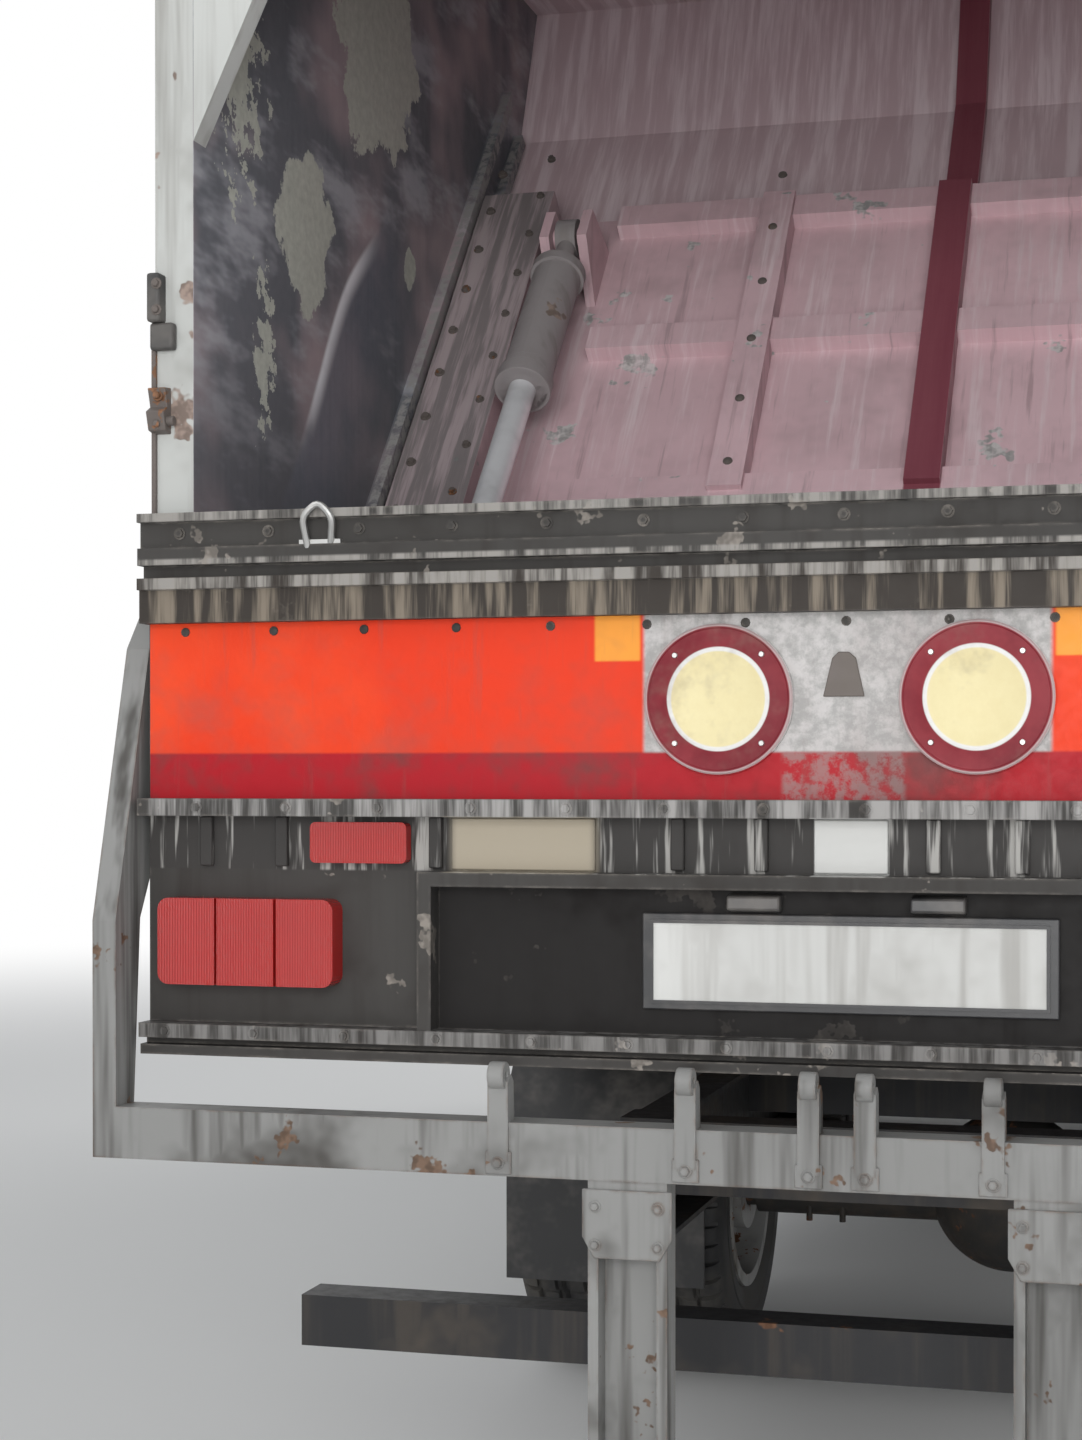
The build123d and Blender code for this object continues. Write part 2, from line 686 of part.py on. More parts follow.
def body_roof():
    low = BODY_Z[1] - BODY_WALL
    half = BODY_HALF + RIB_DEPTH
    section = [(-half, low), (half, low), (half, low + 14)]
    section += [(half - 60, BODY_Z[1]), (60 - half, BODY_Z[1]), (-half, low + 14)]
    roof = along(section, JOINT_LOW[0], BODY_FRONT)
    cut = [(joint_y(low), low), (joint_y(BODY_Z[1]), BODY_Z[1]), (joint_y(BODY_Z[1]), 3100)]
    cut += [(-2500, 3100), (-2500, low)]
    roof -= across(cut, -half - 1, half + 1)
    hinge_y, hinge_z = TAIL_HINGE
    for x in (-600, 600):
        plate = [(-1470, BODY_Z[1]), (-1300, BODY_Z[1]), (hinge_y + 40, hinge_z + 36)]
        plate += [(hinge_y - 36, hinge_z + 36), (hinge_y - 36, hinge_z - 36), (hinge_y - 14, BODY_Z[1] - 1)]
        lug = across(plate, x - 15, x + 15)
        lug += axle_bar(x - 42, x + 42, hinge_y, hinge_z, 16)
        roof += lug
    return roof


def body_front_wall():
    inner = BODY_HALF - BODY_WALL
    height = (BODY_Z[0] + BODY_WALL, BODY_Z[1] - BODY_WALL)
    wall = block((-inner, inner), (BODY_FRONT - BODY_WALL, BODY_FRONT), height)
    for x in (-600, -200, 200, 600):
        wall += block((x - 30, x + 30), (BODY_FRONT, BODY_FRONT + 25), height)
    return wall


def ejector():
    """The push plate, slanted as the body's rear edge is, with side webs in front of it."""
    low, high, half = 952, 2880, 905
    slope = (JOINT_TOP[0] - JOINT_LOW[0]) / (JOINT_TOP[1] - JOINT_LOW[1])
    base_y = 640
    top_y = base_y + (high - low) * slope
    plate = across([(base_y, low), (base_y + 30, low), (top_y + 30, high), (top_y, high)], -half, half)
    web = [(base_y + 30, low), (base_y + 560, low), (base_y + 560, low + 260), (top_y - 60, 2300)]
    web += [(base_y + 30 + (2300 - low) * slope, 2300)]
    for x in (-half, -300, 280, half - 20):
        plate += across(web, x, x + 20)
    return plate


# Tailgate outlines and the places where its cylinders act
CYLINDER_FOOT = (-1440, 1450)
CYLINDER_EYE = (-1900, 2750)
CYLINDER_X = 1032


def tail_side():
    """The right wall: a plate inside a frame of pillars, with the packer's guide rails on its inner face."""
    top = BODY_Z[1] + 10
    profile = [
        (joint_y(TAIL_LOW) - GAP, TAIL_LOW),
        (joint_y(top) - GAP, top),
        (-2700, top),
        (TAIL_REAR, ARCH_Z),
        (TAIL_REAR, TAIL_LOW + 60),
        (TAIL_REAR + 60, TAIL_LOW),
    ]
    wall = across(profile, TAIL_INNER, TAIL_HALF)
    pocket_depth = TAIL_HALF - 45 - TAIL_INNER
    pockets = [
        [(-2290, 1000), (-2100, 1560), (-3130, 1560), (-3130, 1000)],
        [(-2065, 1640), (-1800, 2420), (-3150, 2420), (-3150, 1640)],
        [(-1770, 2500), (-1640, 2860), (-2660, 2860), (-3120, 2500)],
    ]
    for pocket in pockets:
        wall -= across(pocket, TAIL_INNER + pocket_depth, TAIL_HALF + 1)
    for depths in ((-14, 12), (88, 114)):
        wall += guide_strip((20, 1370), depths, TAIL_INNER - 20, TAIL_INNER)
    # Bosses for the lift cylinder's eye and the bin lifter's pivot
    wall += axle_bar(TAIL_INNER + 10, TAIL_HALF + 3, *CYLINDER_EYE, 50)
    wall += axle_bar(TAIL_INNER + 10, TAIL_HALF + 4, *LIFT_PIVOT, 85)
    wall += axle_bar(TAIL_HALF, ARM_X[1] + 2, *LIFT_PIVOT, 24)
    return wall


def tail_roof():
    """Roof, slanted rear hood, rear arch with leaning corners, upper shield and hinge lugs."""
    top = BODY_Z[1] + 10
    half = TAIL_INNER
    profile = [
        (joint_y(top) - GAP, top),
        (-2700, top),
        (TAIL_REAR, ARCH_Z),
        (TAIL_REAR, ARCH_Z - 50),
        (-2720, top - 40),
        (joint_y(top - 40) - GAP, top - 40),
    ]
    roof = across(profile, -half, half)
    # Rear arch: its inner edge leans inward from the kink to the top beam
    lean = (ARCH_Z - KINK_Z) * 58 / 176
    arch = [(half, KINK_Z), (half, ARCH_Z - 10), (-half, ARCH_Z - 10), (-half, KINK_Z)]
    arch += [(lean - half, ARCH_Z - 110), (half - lean, ARCH_Z - 110)]
    roof += along(arch, TAIL_REAR, TAIL_REAR + 40)
    # Upper shield that closes the space over the carriage, with the middle rib that carries on the carriage's
    shield_low, shield_top = guide_point(850, -40), guide_point(1405, -40)
    shield_head = joint_y(top - 40) - GAP
    shield = [shield_low, shield_top, (shield_head, top - 40), (shield_head - 13, top - 40)]
    shield += [(shield_top[0] - 12, shield_top[1] + 4), (shield_low[0] - 12, shield_low[1])]
    roof += across(shield, -half, half)
    rib = [guide_point(880, -36), guide_point(1400, -36), (shield_head - 8, top - 39)]
    rib += [(shield_head - 38, top - 39), guide_point(1400, -12), guide_point(880, -12)]
    roof += across(rib, -30, 30)
    hinge_y, hinge_z = TAIL_HINGE
    for x in (-600, 600):
        for offset_x in (-34, 22):
            plate = [(-1530, top), (-1800, top), (hinge_y - 40, hinge_z + 34), (hinge_y + 30, hinge_z + 34)]
            plate += [(hinge_y + 30, hinge_z - 30), (hinge_y - 40, hinge_z - 36)]
            lug = across(plate, x + offset_x, x + offset_x + 12)
            roof += lug - axle_bar(x - 50, x + 50, hinge_y, hinge_z, 17)
    return roof


def hopper_trough():
    """The curved hopper floor, with its front lip and the cross beam under it."""
    trough = arc_band(TROUGH, TROUGH_R, 12, -42, 90, -TAIL_INNER, TAIL_INNER)
    rear_y = TROUGH[0] - TROUGH_R
    trough += block((-TAIL_INNER, TAIL_INNER), (rear_y - 12, rear_y), (1560, 1600))
    lip = math.radians(42)
    r = TROUGH_R + 12
    lip_point = (TROUGH[0] + r * math.sin(lip), TROUGH[1] - r * math.cos(lip))
    beam = [lip_point, (joint_y(TAIL_LOW) - GAP, TAIL_LOW), (-2330, TAIL_LOW), (-2330, TROUGH[1] - 560)]
    beam_solid = across(beam, -TAIL_INNER, TAIL_INNER)
    beam_solid -= axle_bar(-TAIL_INNER - 1, TAIL_INNER + 1, *TROUGH, TROUGH_R + 6)
    trough += beam_solid
    for x in (-620, 0, 620):
        rib = across([(-3100, 930), (-2300, 930), (-2300, 900), (-3060, 900)], x - 15, x + 15)
        trough += rib
    return trough


def rear_panel():
    """Everything across the back below the opening: stepped sill, backing plate, frames and rails."""
    half = TAIL_HALF
    panel = block((-half, half), (PANEL_REAR + 40, TAIL_REAR), (PANEL_LOW, 1600))
    # Sill courses from the top: low Z, high Z, how far the face is set back
    sill_courses = [(1652, 1664, 0), (1616, 1652, 12), (1592, 1616, 2)]
    sill_courses += [(1574, 1592, 22), (1558, 1574, 0), (1512, 1558, 8)]
    for z_low, z_high, setback in sill_courses:
        panel += block((-half, half), (PANEL_REAR + setback, TAIL_REAR), (z_low, z_high))
    panel += block((-TAIL_INNER, TAIL_INNER), (TAIL_REAR, TROUGH[0] - TROUGH_R - 12), (1500, SILL_Z))
    # Rails that frame the marking panel and the plate's recess
    for z_low, z_high, setback in ((1244, 1268, 0), (935, 955, 4), (911, 925, 10)):
        panel += block((-half, half), (PANEL_REAR + setback, PANEL_REAR + 41), (z_low, z_high))
    panel += block((-half, half), (PANEL_REAR + 30, TAIL_REAR), (911, 935))
    for side in (-1, 1):
        panel += block(sorted((side * 560, side * 580)), (PANEL_REAR + 6, PANEL_REAR + 41), (955, 1170))
    panel += block((-580, 580), (PANEL_REAR + 6, PANEL_REAR + 41), (1150, 1170))
    return panel


def marking_panel():
    """Flat panel with two raised round discs."""
    panel = block((-TAIL_HALF + 6, TAIL_HALF - 6), (PANEL_REAR + 30, PANEL_REAR + 40), (1268, 1512))
    return panel + both(rod((168, PANEL_REAR + 30, 1400), (168, PANEL_REAR + 24, 1400), 100))


def rear_lamps():
    """Three lamps in a row on each side, and a small reflector over them."""
    rear = PANEL_REAR + 40
    cluster = along([(700, 1010), (960, 1010), (960, 1130), (700, 1130)], rear - 38, rear, 16)
    for x in (785, 873):
        cluster -= block((x - 2, x + 2), (rear - 39, rear - 28), (1000, 1140))
    return both(cluster + along([(600, 1180), (740, 1180), (740, 1236), (600, 1236)], rear - 20, rear, 8))


def carriage():
    """Slide plate with side members, ribs, shoes, the blade's hinge pin and the cylinders' upper lugs."""
    low, high = CARRIAGE_REST + 72, CARRIAGE_REST + CARRIAGE_LENGTH
    plate = guide_strip((low, high), (0, 18), -905, 905)
    member_x = (765, 905)
    plate += both(guide_strip((CARRIAGE_REST - 40, high), (0, 96), *member_x))
    plate += both(guide_strip((CARRIAGE_REST + 72, CARRIAGE_REST + 340), (24, 76), 905, 925))
    plate += both(guide_strip((CARRIAGE_REST + 620, CARRIAGE_REST + 860), (24, 76), 905, 925))
    for x in (-330, 0, 330):
        plate += guide_strip((low + 20, high), (18, 62), x - 30, x + 30)
    for distance in (low, CARRIAGE_REST + 480, high - 60):
        plate += guide_strip((distance, distance + 60), (18, 50), -640, 640)
    hinge = guide_point(CARRIAGE_REST, 0)
    plate -= axle_bar(-760, 760, *hinge, 64)
    plate += axle_bar(-member_x[1], member_x[1], *hinge, 26)
    anchor = guide_point(CARRIAGE_REST + 725, 111)
    for x in (655, 727):
        lug = [guide_point(CARRIAGE_REST + 640, 18), guide_point(CARRIAGE_REST + 800, 18)]
        lug += [guide_point(CARRIAGE_REST + 765, 145), guide_point(CARRIAGE_REST + 690, 145)]
        plate += both(across(lug, x, x + 18))
    plate += both(axle_bar(655, 745, *anchor, 18))
    return plate


BLADE_LUG = (-227, -35)


def blade():
    """A curved box blade hung from the carriage's pin, with a wear edge and cylinder lugs."""
    y, z = guide_point(CARRIAGE_REST, 0)
    tube = axle_bar(-750, 750, y, z, 50)
    tip_z = z - BLADE_LENGTH
    edges = [
        ThreePointArc((y + 30, z - 30), (y + 42, z - 300), (y + 12, tip_z + 6)),
        Line((y + 12, tip_z + 6), (y - 6, tip_z)),
        Line((y - 6, tip_z), (y - 14, tip_z + 6)),
        ThreePointArc((y - 14, tip_z + 6), (y - 60, z - 260), (y - 45, z - 20)),
        Line((y - 45, z - 20), (y + 30, z - 30)),
    ]
    body = extrude(Plane.YZ.offset(-BLADE_HALF) * make_face(edges), 2 * BLADE_HALF, dir=(1, 0, 0))
    body -= both(axle_bar(755, 960, y, z, 112))
    result = tube + body
    lug_x = (660, 728)
    for x in lug_x:
        lug_y, lug_z = y + BLADE_LUG[0], z + BLADE_LUG[1]
        ear = [(y - 40, z + 30), (lug_y - 28, lug_z + 20), (lug_y - 28, lug_z - 26)]
        ear += [(lug_y + 10, lug_z - 34), (y - 55, z - 210)]
        result += both(across(ear, x, x + 12))
    for x in (-300, 0, 300):
        rib = [(y - 50, z - 60), (y - 100, z - 130), (y - 92, z - 330), (y - 34, z - 470)]
        result += across(rib, x - 12, x + 12)
    result -= axle_bar(-BLADE_HALF - 1, BLADE_HALF + 1, y, z, 27)
    return result


def packer_cylinder(kind):
    """The right blade cylinder, from the carriage's lug to the blade's."""
    anchor = Vector(0, *guide_point(CARRIAGE_REST + 725, 111))
    hinge = guide_point(CARRIAGE_REST, 0)
    eye = Vector(0, hinge[0] + BLADE_LUG[0], hinge[1] + BLADE_LUG[1])
    return cylinder(kind, anchor, eye, 700, 44, 24, (105, 451), 393, 26, (681, 719), 19)


def tail_cylinder(kind):
    """The right lift cylinder, from the body's boss to the tailgate's."""
    foot, eye = Vector(0, *CYLINDER_FOOT), Vector(0, *CYLINDER_EYE)
    return cylinder(kind, foot, eye, CYLINDER_X, 34, 17, (70, 1230), 240, 28, (1004, 1058), 15)


def cylinder(kind, anchor, eye, x, barrel_r, rod_r, barrel_span, rod_start, eye_r, eye_x, bore_r):
    """A barrel hung from its anchor, or the rod inside it down to its eye. Spans count from the anchor."""
    direction = (eye - anchor).normalized()
    start = anchor + Vector(x, 0, 0)
    if kind == "barrel":
        low, high = start + direction * barrel_span[0], start + direction * barrel_span[1]
        piece = rod(low, high, barrel_r)
        piece += rod(start, low, (eye_x[1] - eye_x[0]) / 2 - 1)
        piece += axle_bar(*eye_x, anchor.Y, anchor.Z, bore_r + 16)
        piece -= rod(low + direction * 15, high + direction, rod_r + 1)
        return piece - axle_bar(eye_x[0] - 1, eye_x[1] + 1, anchor.Y, anchor.Z, bore_r)
    tip = eye + Vector(x, 0, 0)
    piece = rod(start + direction * rod_start, tip, rod_r)
    piece += axle_bar(*eye_x, eye.Y, eye.Z, eye_r)
    return piece - axle_bar(eye_x[0] - 1, eye_x[1] + 1, eye.Y, eye.Z, eye_r * 0.5)


def bin_lifter():
    """Two arms, comb beam with hooks, posts and the bar that bins rest against."""
    pivot_y, pivot_z = LIFT_PIVOT
    arm = [
        (pivot_y + 50, pivot_z + 40),
        (pivot_y - 40, pivot_z + 60),
        (pivot_y - 90, pivot_z),
        (BEAM_Y[0], 1100),
        (BEAM_Y[0], BEAM_Z[0]),
        (BEAM_Y[1], BEAM_Z[0]),
        (BEAM_Y[1] + 25, 1100),
        (pivot_y + 60, pivot_z - 60),
    ]
    arm_plate = across(arm, *ARM_X) - axle_bar(ARM_X[0] - 1, ARM_X[1] + 1, *LIFT_PIVOT, 25)
    lifter = both(arm_plate)
    lifter += block((-ARM_X[1], ARM_X[1]), BEAM_Y, BEAM_Z)
    post_x = (221, 327)
    for side in (-1, 1):
        x = sorted((side * post_x[0], side * post_x[1]))
        post = block(x, (BEAM_Y[0] + 2, BEAM_Y[1]), (300, BEAM_Z[0]))
        post -= block((x[0] + 14, x[1] - 14), (BEAM_Y[0], BEAM_Y[1] - 12), (380, BEAM_Z[0] - 14))
        lifter += post
    lifter += block((-620, 620), (BEAM_Y[0] + 4, BEAM_Y[1] - 4), (270, 330))
    # Comb hooks along the beam's top
    for x in (-448, -196, -36, 36, 196, 448):
        hook = [(Y_REAR, BEAM_Z[0] + 20), (Y_REAR, 898), (Y_REAR + 16, 906), (Y_REAR + 26, 896)]
        hook += [(Y_REAR + 30, BEAM_Z[1]), (Y_REAR + 30, BEAM_Z[0] + 20)]
        lifter += across(hook, x - 14, x + 14)
    return lifter


nodes["chassis_frame"] = chassis_frame()
nodes["front_axle"] = front_axle()
nodes["rear_axle"] = rear_axle()
nodes["engine_block"] = engine()
nodes["driveline"] = driveline()
nodes["fuel_tank"] = fuel_tank()
nodes["battery_box"] = battery_box()
nodes["silencer"] = silencer()
nodes["rear_mudguards"] = rear_mudguards()
nodes["side_guards"] = side_guards()
nodes["front_bumper"] = front_bumper()
nodes["tie_rod"] = tie_rod()
nodes["knuckle_right"] = knuckle()
nodes["knuckle_left"] = mirrored(knuckle())

front_tyre = tyre(FRONT_WHEEL_X, FRONT_Y)
rear_tyres = tyre(TWIN_X[0], REAR_Y) + tyre(TWIN_X[1], REAR_Y)
for side, turn in (("right", lambda shape: shape), ("left", mirrored)):
    nodes[f"tyre_front_{side}"] = turn(front_tyre)
    nodes[f"rim_front_{side}"] = turn(front_rim())
    nodes[f"tyres_rear_{side}"] = turn(rear_tyres)
    nodes[f"rim_rear_{side}"] = turn(rear_rim())
    nodes[f"door_{side}"] = turn(cab_door())
    nodes[f"door_glass_{side}"] = turn(door_glass())
    nodes[f"body_side_{side}"] = turn(body_side())
    nodes[f"tail_side_{side}"] = turn(tail_side())

nodes["cab_shell"] = cab_shell()
nodes["cab_glass"] = cab_glass()
nodes["cab_inside"] = cab_inside()
nodes["seats"] = seats()
nodes["front_grille"] = front_grille()
nodes["head_lamps"] = head_lamps()
nodes["mirrors"] = mirrors()
nodes["beacon"] = beacon()
nodes["body_floor"] = body_floor()
nodes["body_roof"] = body_roof()
nodes["body_front_wall"] = body_front_wall()
nodes["ejector_plate"] = ejector()
nodes["tail_roof"] = tail_roof()
nodes["hopper_trough"] = hopper_trough()
nodes["rear_panel"] = rear_panel()
nodes["marking_panel"] = marking_panel()
nodes["rear_lamps"] = rear_lamps()
nodes["packer_carriage"] = carriage()
nodes["packer_blade"] = blade()
nodes["packer_barrels"] = both(packer_cylinder("barrel"))
nodes["packer_rods"] = both(packer_cylinder("rod"))
nodes["tail_barrels"] = both(tail_cylinder("barrel"))
nodes["tail_rods"] = both(tail_cylinder("rod"))
nodes["bin_lifter"] = bin_lifter()

for name, shape in nodes.items():
    export_step(shape, f"parts/{name}.step")
print(len(nodes), "nodes")
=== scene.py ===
import math

import bmesh
import bpy
from mathutils import Matrix, Vector


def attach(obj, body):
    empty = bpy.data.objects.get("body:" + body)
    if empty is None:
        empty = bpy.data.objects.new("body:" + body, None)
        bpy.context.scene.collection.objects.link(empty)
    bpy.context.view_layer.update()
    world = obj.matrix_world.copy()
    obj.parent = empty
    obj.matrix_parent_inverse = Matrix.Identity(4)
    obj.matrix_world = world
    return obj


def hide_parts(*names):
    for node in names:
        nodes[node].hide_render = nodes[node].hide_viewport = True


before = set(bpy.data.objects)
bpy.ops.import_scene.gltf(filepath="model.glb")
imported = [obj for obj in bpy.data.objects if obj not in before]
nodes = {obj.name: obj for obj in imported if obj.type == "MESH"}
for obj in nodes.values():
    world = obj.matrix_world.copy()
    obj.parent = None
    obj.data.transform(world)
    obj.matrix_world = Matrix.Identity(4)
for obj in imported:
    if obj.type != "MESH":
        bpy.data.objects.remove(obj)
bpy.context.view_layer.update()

# Places that the CAD fixes, in metres
AXLE_Z = 0.390
FRONT_Y = 2.200
REAR_Y = -1.150
FRONT_WHEEL_X = 0.830
TWIN_X = (0.645, 0.885)
PANEL_Y = -3.300
PILLAR_Y = -3.240
WALL_X = 0.931
PILLAR_X = 0.990
BEAM_Y = -3.345
DISC_X = 0.168
DISC_Z = 1.400
DISC_R = 0.100
DISC_Y = -3.276
GUIDE_FOOT = (-2.580, 1.560)
GUIDE_LEAN = math.radians(40)
LIFT_PIVOT = (-3.150, 1.480)
CYLINDER_FOOT = (-1.440, 1.450)
CYLINDER_EYE = (-1.900, 2.750)
CYLINDER_X = 1.032
MIRROR_BACK = 3.110

# Directions, and the sign that X has on each side
BACK = (0, -1, 0)
FORWARD = (0, 1, 0)
SIDES = ((-1, "left"), (1, "right"))


# Materials


def tone(colour, factor):
    return tuple(min(1.0, c * factor) for c in colour[:3])


class Graph:
    """Short calls that add nodes to one node tree."""

    def __init__(self, tree):
        self.tree = tree

    def feed(self, socket, value):
        if isinstance(value, bpy.types.NodeSocket):
            self.tree.links.new(value, socket)
        elif isinstance(value, (tuple, list)) and len(value) == 3 and socket.type == "RGBA":
            socket.default_value = (*value, 1.0)
        else:
            socket.default_value = value

    def node(self, kind, values, **settings):
        """A node of a kind, with values for the inputs that are named or numbered."""
        made = self.tree.nodes.new("ShaderNode" + kind)
        for name, value in settings.items():
            setattr(made, name, value)
        for key, value in values.items():
            self.feed(made.inputs[key], value)
        return made

    def math(self, operation, a, b=0.0):
        return self.node("Math", {0: a, 1: b}, operation=operation).outputs[0]

    def add(self, a, b):
        return self.math("ADD", a, b)

    def less(self, a, b):
        return self.math("SUBTRACT", a, b)

    def unsigned(self, value):
        return self.math("ABSOLUTE", value)

    def squares(self, a, b):
        return self.add(self.product(a, a), self.product(b, b))

    def product(self, first, *others):
        for other in others:
            first = self.math("MULTIPLY", first, other)
        return first

    def most(self, first, *others):
        for other in others:
            first = self.math("MAXIMUM", first, other)
        return first

    def step(self, value, low, high, start=0.0, end=1.0):
        """Start below low, end above high, and a smooth rise between them."""
        values = dict(enumerate((value, low, high, start, end)))
        return self.node("MapRange", values, interpolation_type="SMOOTHSTEP").outputs[0]

    def fall(self, value, low, high):
        return self.step(value, low, high, 1.0, 0.0)

    def seen_directly(self):
        """1 for the rays that show the white background: the camera's, and those past gloss and glass."""
        path = self.node("LightPath", {})
        kinds = ("Camera", "Glossy", "Transmission")
        return self.most(*(path.outputs[f"Is {kind} Ray"] for kind in kinds))

    def finish(self, kind, factor, first, second):
        """Mixes two shaders into the tree's output."""
        mixed = self.node("MixShader", {0: factor, 1: first.outputs[0], 2: second.outputs[0]})
        self.node(kind, {0: mixed.outputs[0]})


class Tree(Graph):
    """One material. Places are the frame's own, so marks move with their body."""

    def __init__(self, name):
        self.name = name
        self.material = bpy.data.materials.new(name)
        self.material.use_nodes = True
        super().__init__(self.material.node_tree)
        self.shader = self.tree.nodes["Principled BSDF"]
        source = self.node("TexCoord", {})
        self.place = source.outputs["Object"]
        self.normal = source.outputs["Normal"]
        self.axes = None
        self.colour = None
        self.relief = None

    def axis(self, letter):
        if self.axes is None:
            self.axes = dict(zip("xyz", self.node("SeparateXYZ", {0: self.place}).outputs))
        return self.axes[letter]

    def set(self, **values):
        for name, value in values.items():
            self.feed(self.shader.inputs[name.replace("_", " ")], value)

    def mix(self, factor, a, b):
        return self.node("Mix", {0: factor, 6: a, 7: b}, data_type="RGBA").outputs[2]

    def stretched(self, stretch, seed=0.0):
        values = {0: self.place, 1: stretch, 2: (seed, seed, seed)}
        return self.node("VectorMath", values, operation="MULTIPLY_ADD").outputs[0]

    def noise(self, scale, detail=3, rough=0.6, stretch=(1, 1, 1), seed=0.0):
        place = self.stretched(stretch, seed)
        values = {"Vector": place, "Scale": scale, "Detail": detail, "Roughness": rough}
        return self.node("TexNoise", values).outputs[0]

    def cells(self, scale):
        return self.node("TexVoronoi", {"Vector": self.place, "Scale": scale}).outputs["Distance"]

    def wave(self, scale, stretch):
        values = {"Vector": self.stretched(stretch), "Scale": scale}
        return self.node("TexWave", values, bands_direction="DIAGONAL").outputs["Fac"]

    def upright(self):
        """1 on walls, 0 on faces that lie flat, where rain leaves no streaks."""
        parts = self.node("SeparateXYZ", {0: self.normal})
        return self.fall(self.unsigned(parts.outputs[2]), 0.45, 0.75)

    def span(self, value, low, high, soft=0.002):
        """1 between low and high, with soft ends."""
        rise = self.step(value, low - soft, low + soft)
        return self.product(rise, self.fall(value, high - soft, high + soft))

    def blob(self, centre, size, rough):
        """A patch round a (Y, Z) place, for peeled paint. Its edge follows the rough value."""
        y = self.math("DIVIDE", self.less(self.axis("y"), centre[0]), size[0])
        z = self.math("DIVIDE", self.less(self.axis("z"), centre[1]), size[1])
        return self.fall(self.add(self.squares(y, z), rough), 0.9, 1.05)

    def edges(self, radius=0.006):
        """1 along the shape's edges, from the difference that rounding would make."""
        rounded_off = self.node("Bevel", {"Radius": radius}, samples=2).outputs[0]
        flat = self.node("NewGeometry", {}).outputs["Normal"]
        node = self.node("VectorMath", {0: rounded_off, 1: flat}, operation="DOT_PRODUCT")
        return self.fall(node.outputs["Value"], 0.80, 0.99)

    def bump(self, height, strength=0.3, distance=0.002):
        node = self.node("Bump", {"Strength": strength, "Distance": distance, "Height": height})
        if self.relief is not None:
            self.feed(node.inputs["Normal"], self.relief)
        self.relief = node.outputs[0]
        self.feed(self.shader.inputs["Normal"], self.relief)


PLAIN_PAINT = {
    "grime": 0.45,
    "streaks": 0.4,
    "chips": 0.66,
    "chip_scale": 7.0,
    "rub": 0.0,
    "rough": 0.45,
    "metal": 0.0,
    "coat": 0.0,
}
WORN_ARM = {"grime": 0.85, "streaks": 0.8, "chips": 0.63, "chip_scale": 11, "rub": 1.0}


def weathered(name, paint, dirt=(0.16, 0.14, 0.12), bare=(0.26, 0.2, 0.17), shine=0.22, **how):
    """Painted metal: uneven colour, rain streaks, grime, chips down to bare metal, rubbed edges."""
    get = {**PLAIN_PAINT, **how}
    t = Tree(name)
    broad = t.noise(1.3, 2, 0.62)
    fine = t.noise(46, 2, 0.7)
    colour = t.mix(t.step(broad, 0.36, 0.66), tone(paint, 0.9), tone(paint, 1.06))
    runs = t.step(t.noise(1.0, 3, 0.65, stretch=(24, 24, 1.3)), 0.46, 0.74)
    clouds = t.step(t.noise(3.4, 4, 0.7, seed=2.0), 0.47, 0.72)
    grime = t.most(t.product(runs, t.upright(), get["streaks"]), t.product(clouds, get["grime"]))
    colour = t.mix(grime, colour, dirt)
    chips = t.step(t.noise(get["chip_scale"], 4, 0.68, seed=5.0), get["chips"], get["chips"] + 0.025)
    wear = chips
    if get["rub"]:
        spread = t.step(t.noise(17, 3, 0.7, seed=8.0), 0.62 - get["rub"] * 0.25, 0.66)
        rubbed = t.product(t.edges(), spread)
        wear = t.most(chips, rubbed)
    metal = t.mix(t.step(fine, 0.4, 0.62), tone(bare, 0.75), tone(bare, 1.3))
    t.colour = t.mix(wear, colour, metal)
    t.set(Base_Color=t.colour)
    matt = t.add(t.product(grime, 0.5), t.product(fine, 0.5))
    t.set(Roughness=t.step(matt, 0.1, 0.8, get["rough"], 0.85), Specular_IOR_Level=shine)
    if get["metal"]:
        t.set(Metallic=t.product(wear, get["metal"]))
    if get["coat"]:
        t.set(Coat_Weight=get["coat"], Coat_Roughness=0.12)
    t.bump(fine, 0.3, 0.0006)
    return t


def moulded(name, colour, rough=0.55, grain=900, dust=0.35):
    """Grained plastic or rubber with dust in its hollows."""
    t = Tree(name)
    powder = t.product(t.step(t.noise(5.5, 4, 0.7), 0.45, 0.75), dust)
    clean = t.mix(t.noise(2.2, 4), tone(colour, 0.85), tone(colour, 1.15))
    t.set(Base_Color=t.mix(powder, clean, (0.33, 0.3, 0.27)))
    t.set(Roughness=t.step(powder, 0.0, 1.0, rough, 0.9))
    t.bump(t.cells(grain), 0.25, 0.0004)
    return t


def polished(name, colour, rough, brushed, metal=1.0):
    """Bare bright metal, with fine lines along a direction where it is brushed."""
    t = Tree(name)
    lines = t.noise(1.0, 4, 0.6, stretch=brushed)
    smears = t.noise(6.0, 4, 0.65, seed=3.0)
    t.set(Base_Color=t.mix(t.step(smears, 0.4, 0.75), colour, tone(colour, 0.72)))
    t.set(Metallic=metal)
    t.set(Roughness=t.add(rough, t.product(t.add(lines, smears), 0.12)))
    t.bump(lines, 0.06, 0.0006)
    return t


def lens(name, colour, ribs=260, stretch=(1, 0, 0)):
    """A lamp's coloured lens with moulded ribs."""
    t = Tree(name)
    t.set(Base_Color=t.mix(t.noise(7, 4), tone(colour, 0.8), colour))
    t.set(Roughness=0.16, Specular_IOR_Level=0.3, Coat_Weight=0.3, Coat_Roughness=0.05)
    t.bump(t.wave(ribs, stretch), 0.5, 0.0012)
    return t


def clear_glass(name):
    t = Tree(name)
    smear = t.step(t.noise(2.6, 4, 0.7), 0.42, 0.8)
    t.set(Base_Color=(0.62, 0.72, 0.7), IOR=1.45, Transmission_Weight=1.0)
    t.set(Roughness=t.step(smear, 0.0, 1.0, 0.02, 0.22))
    return t


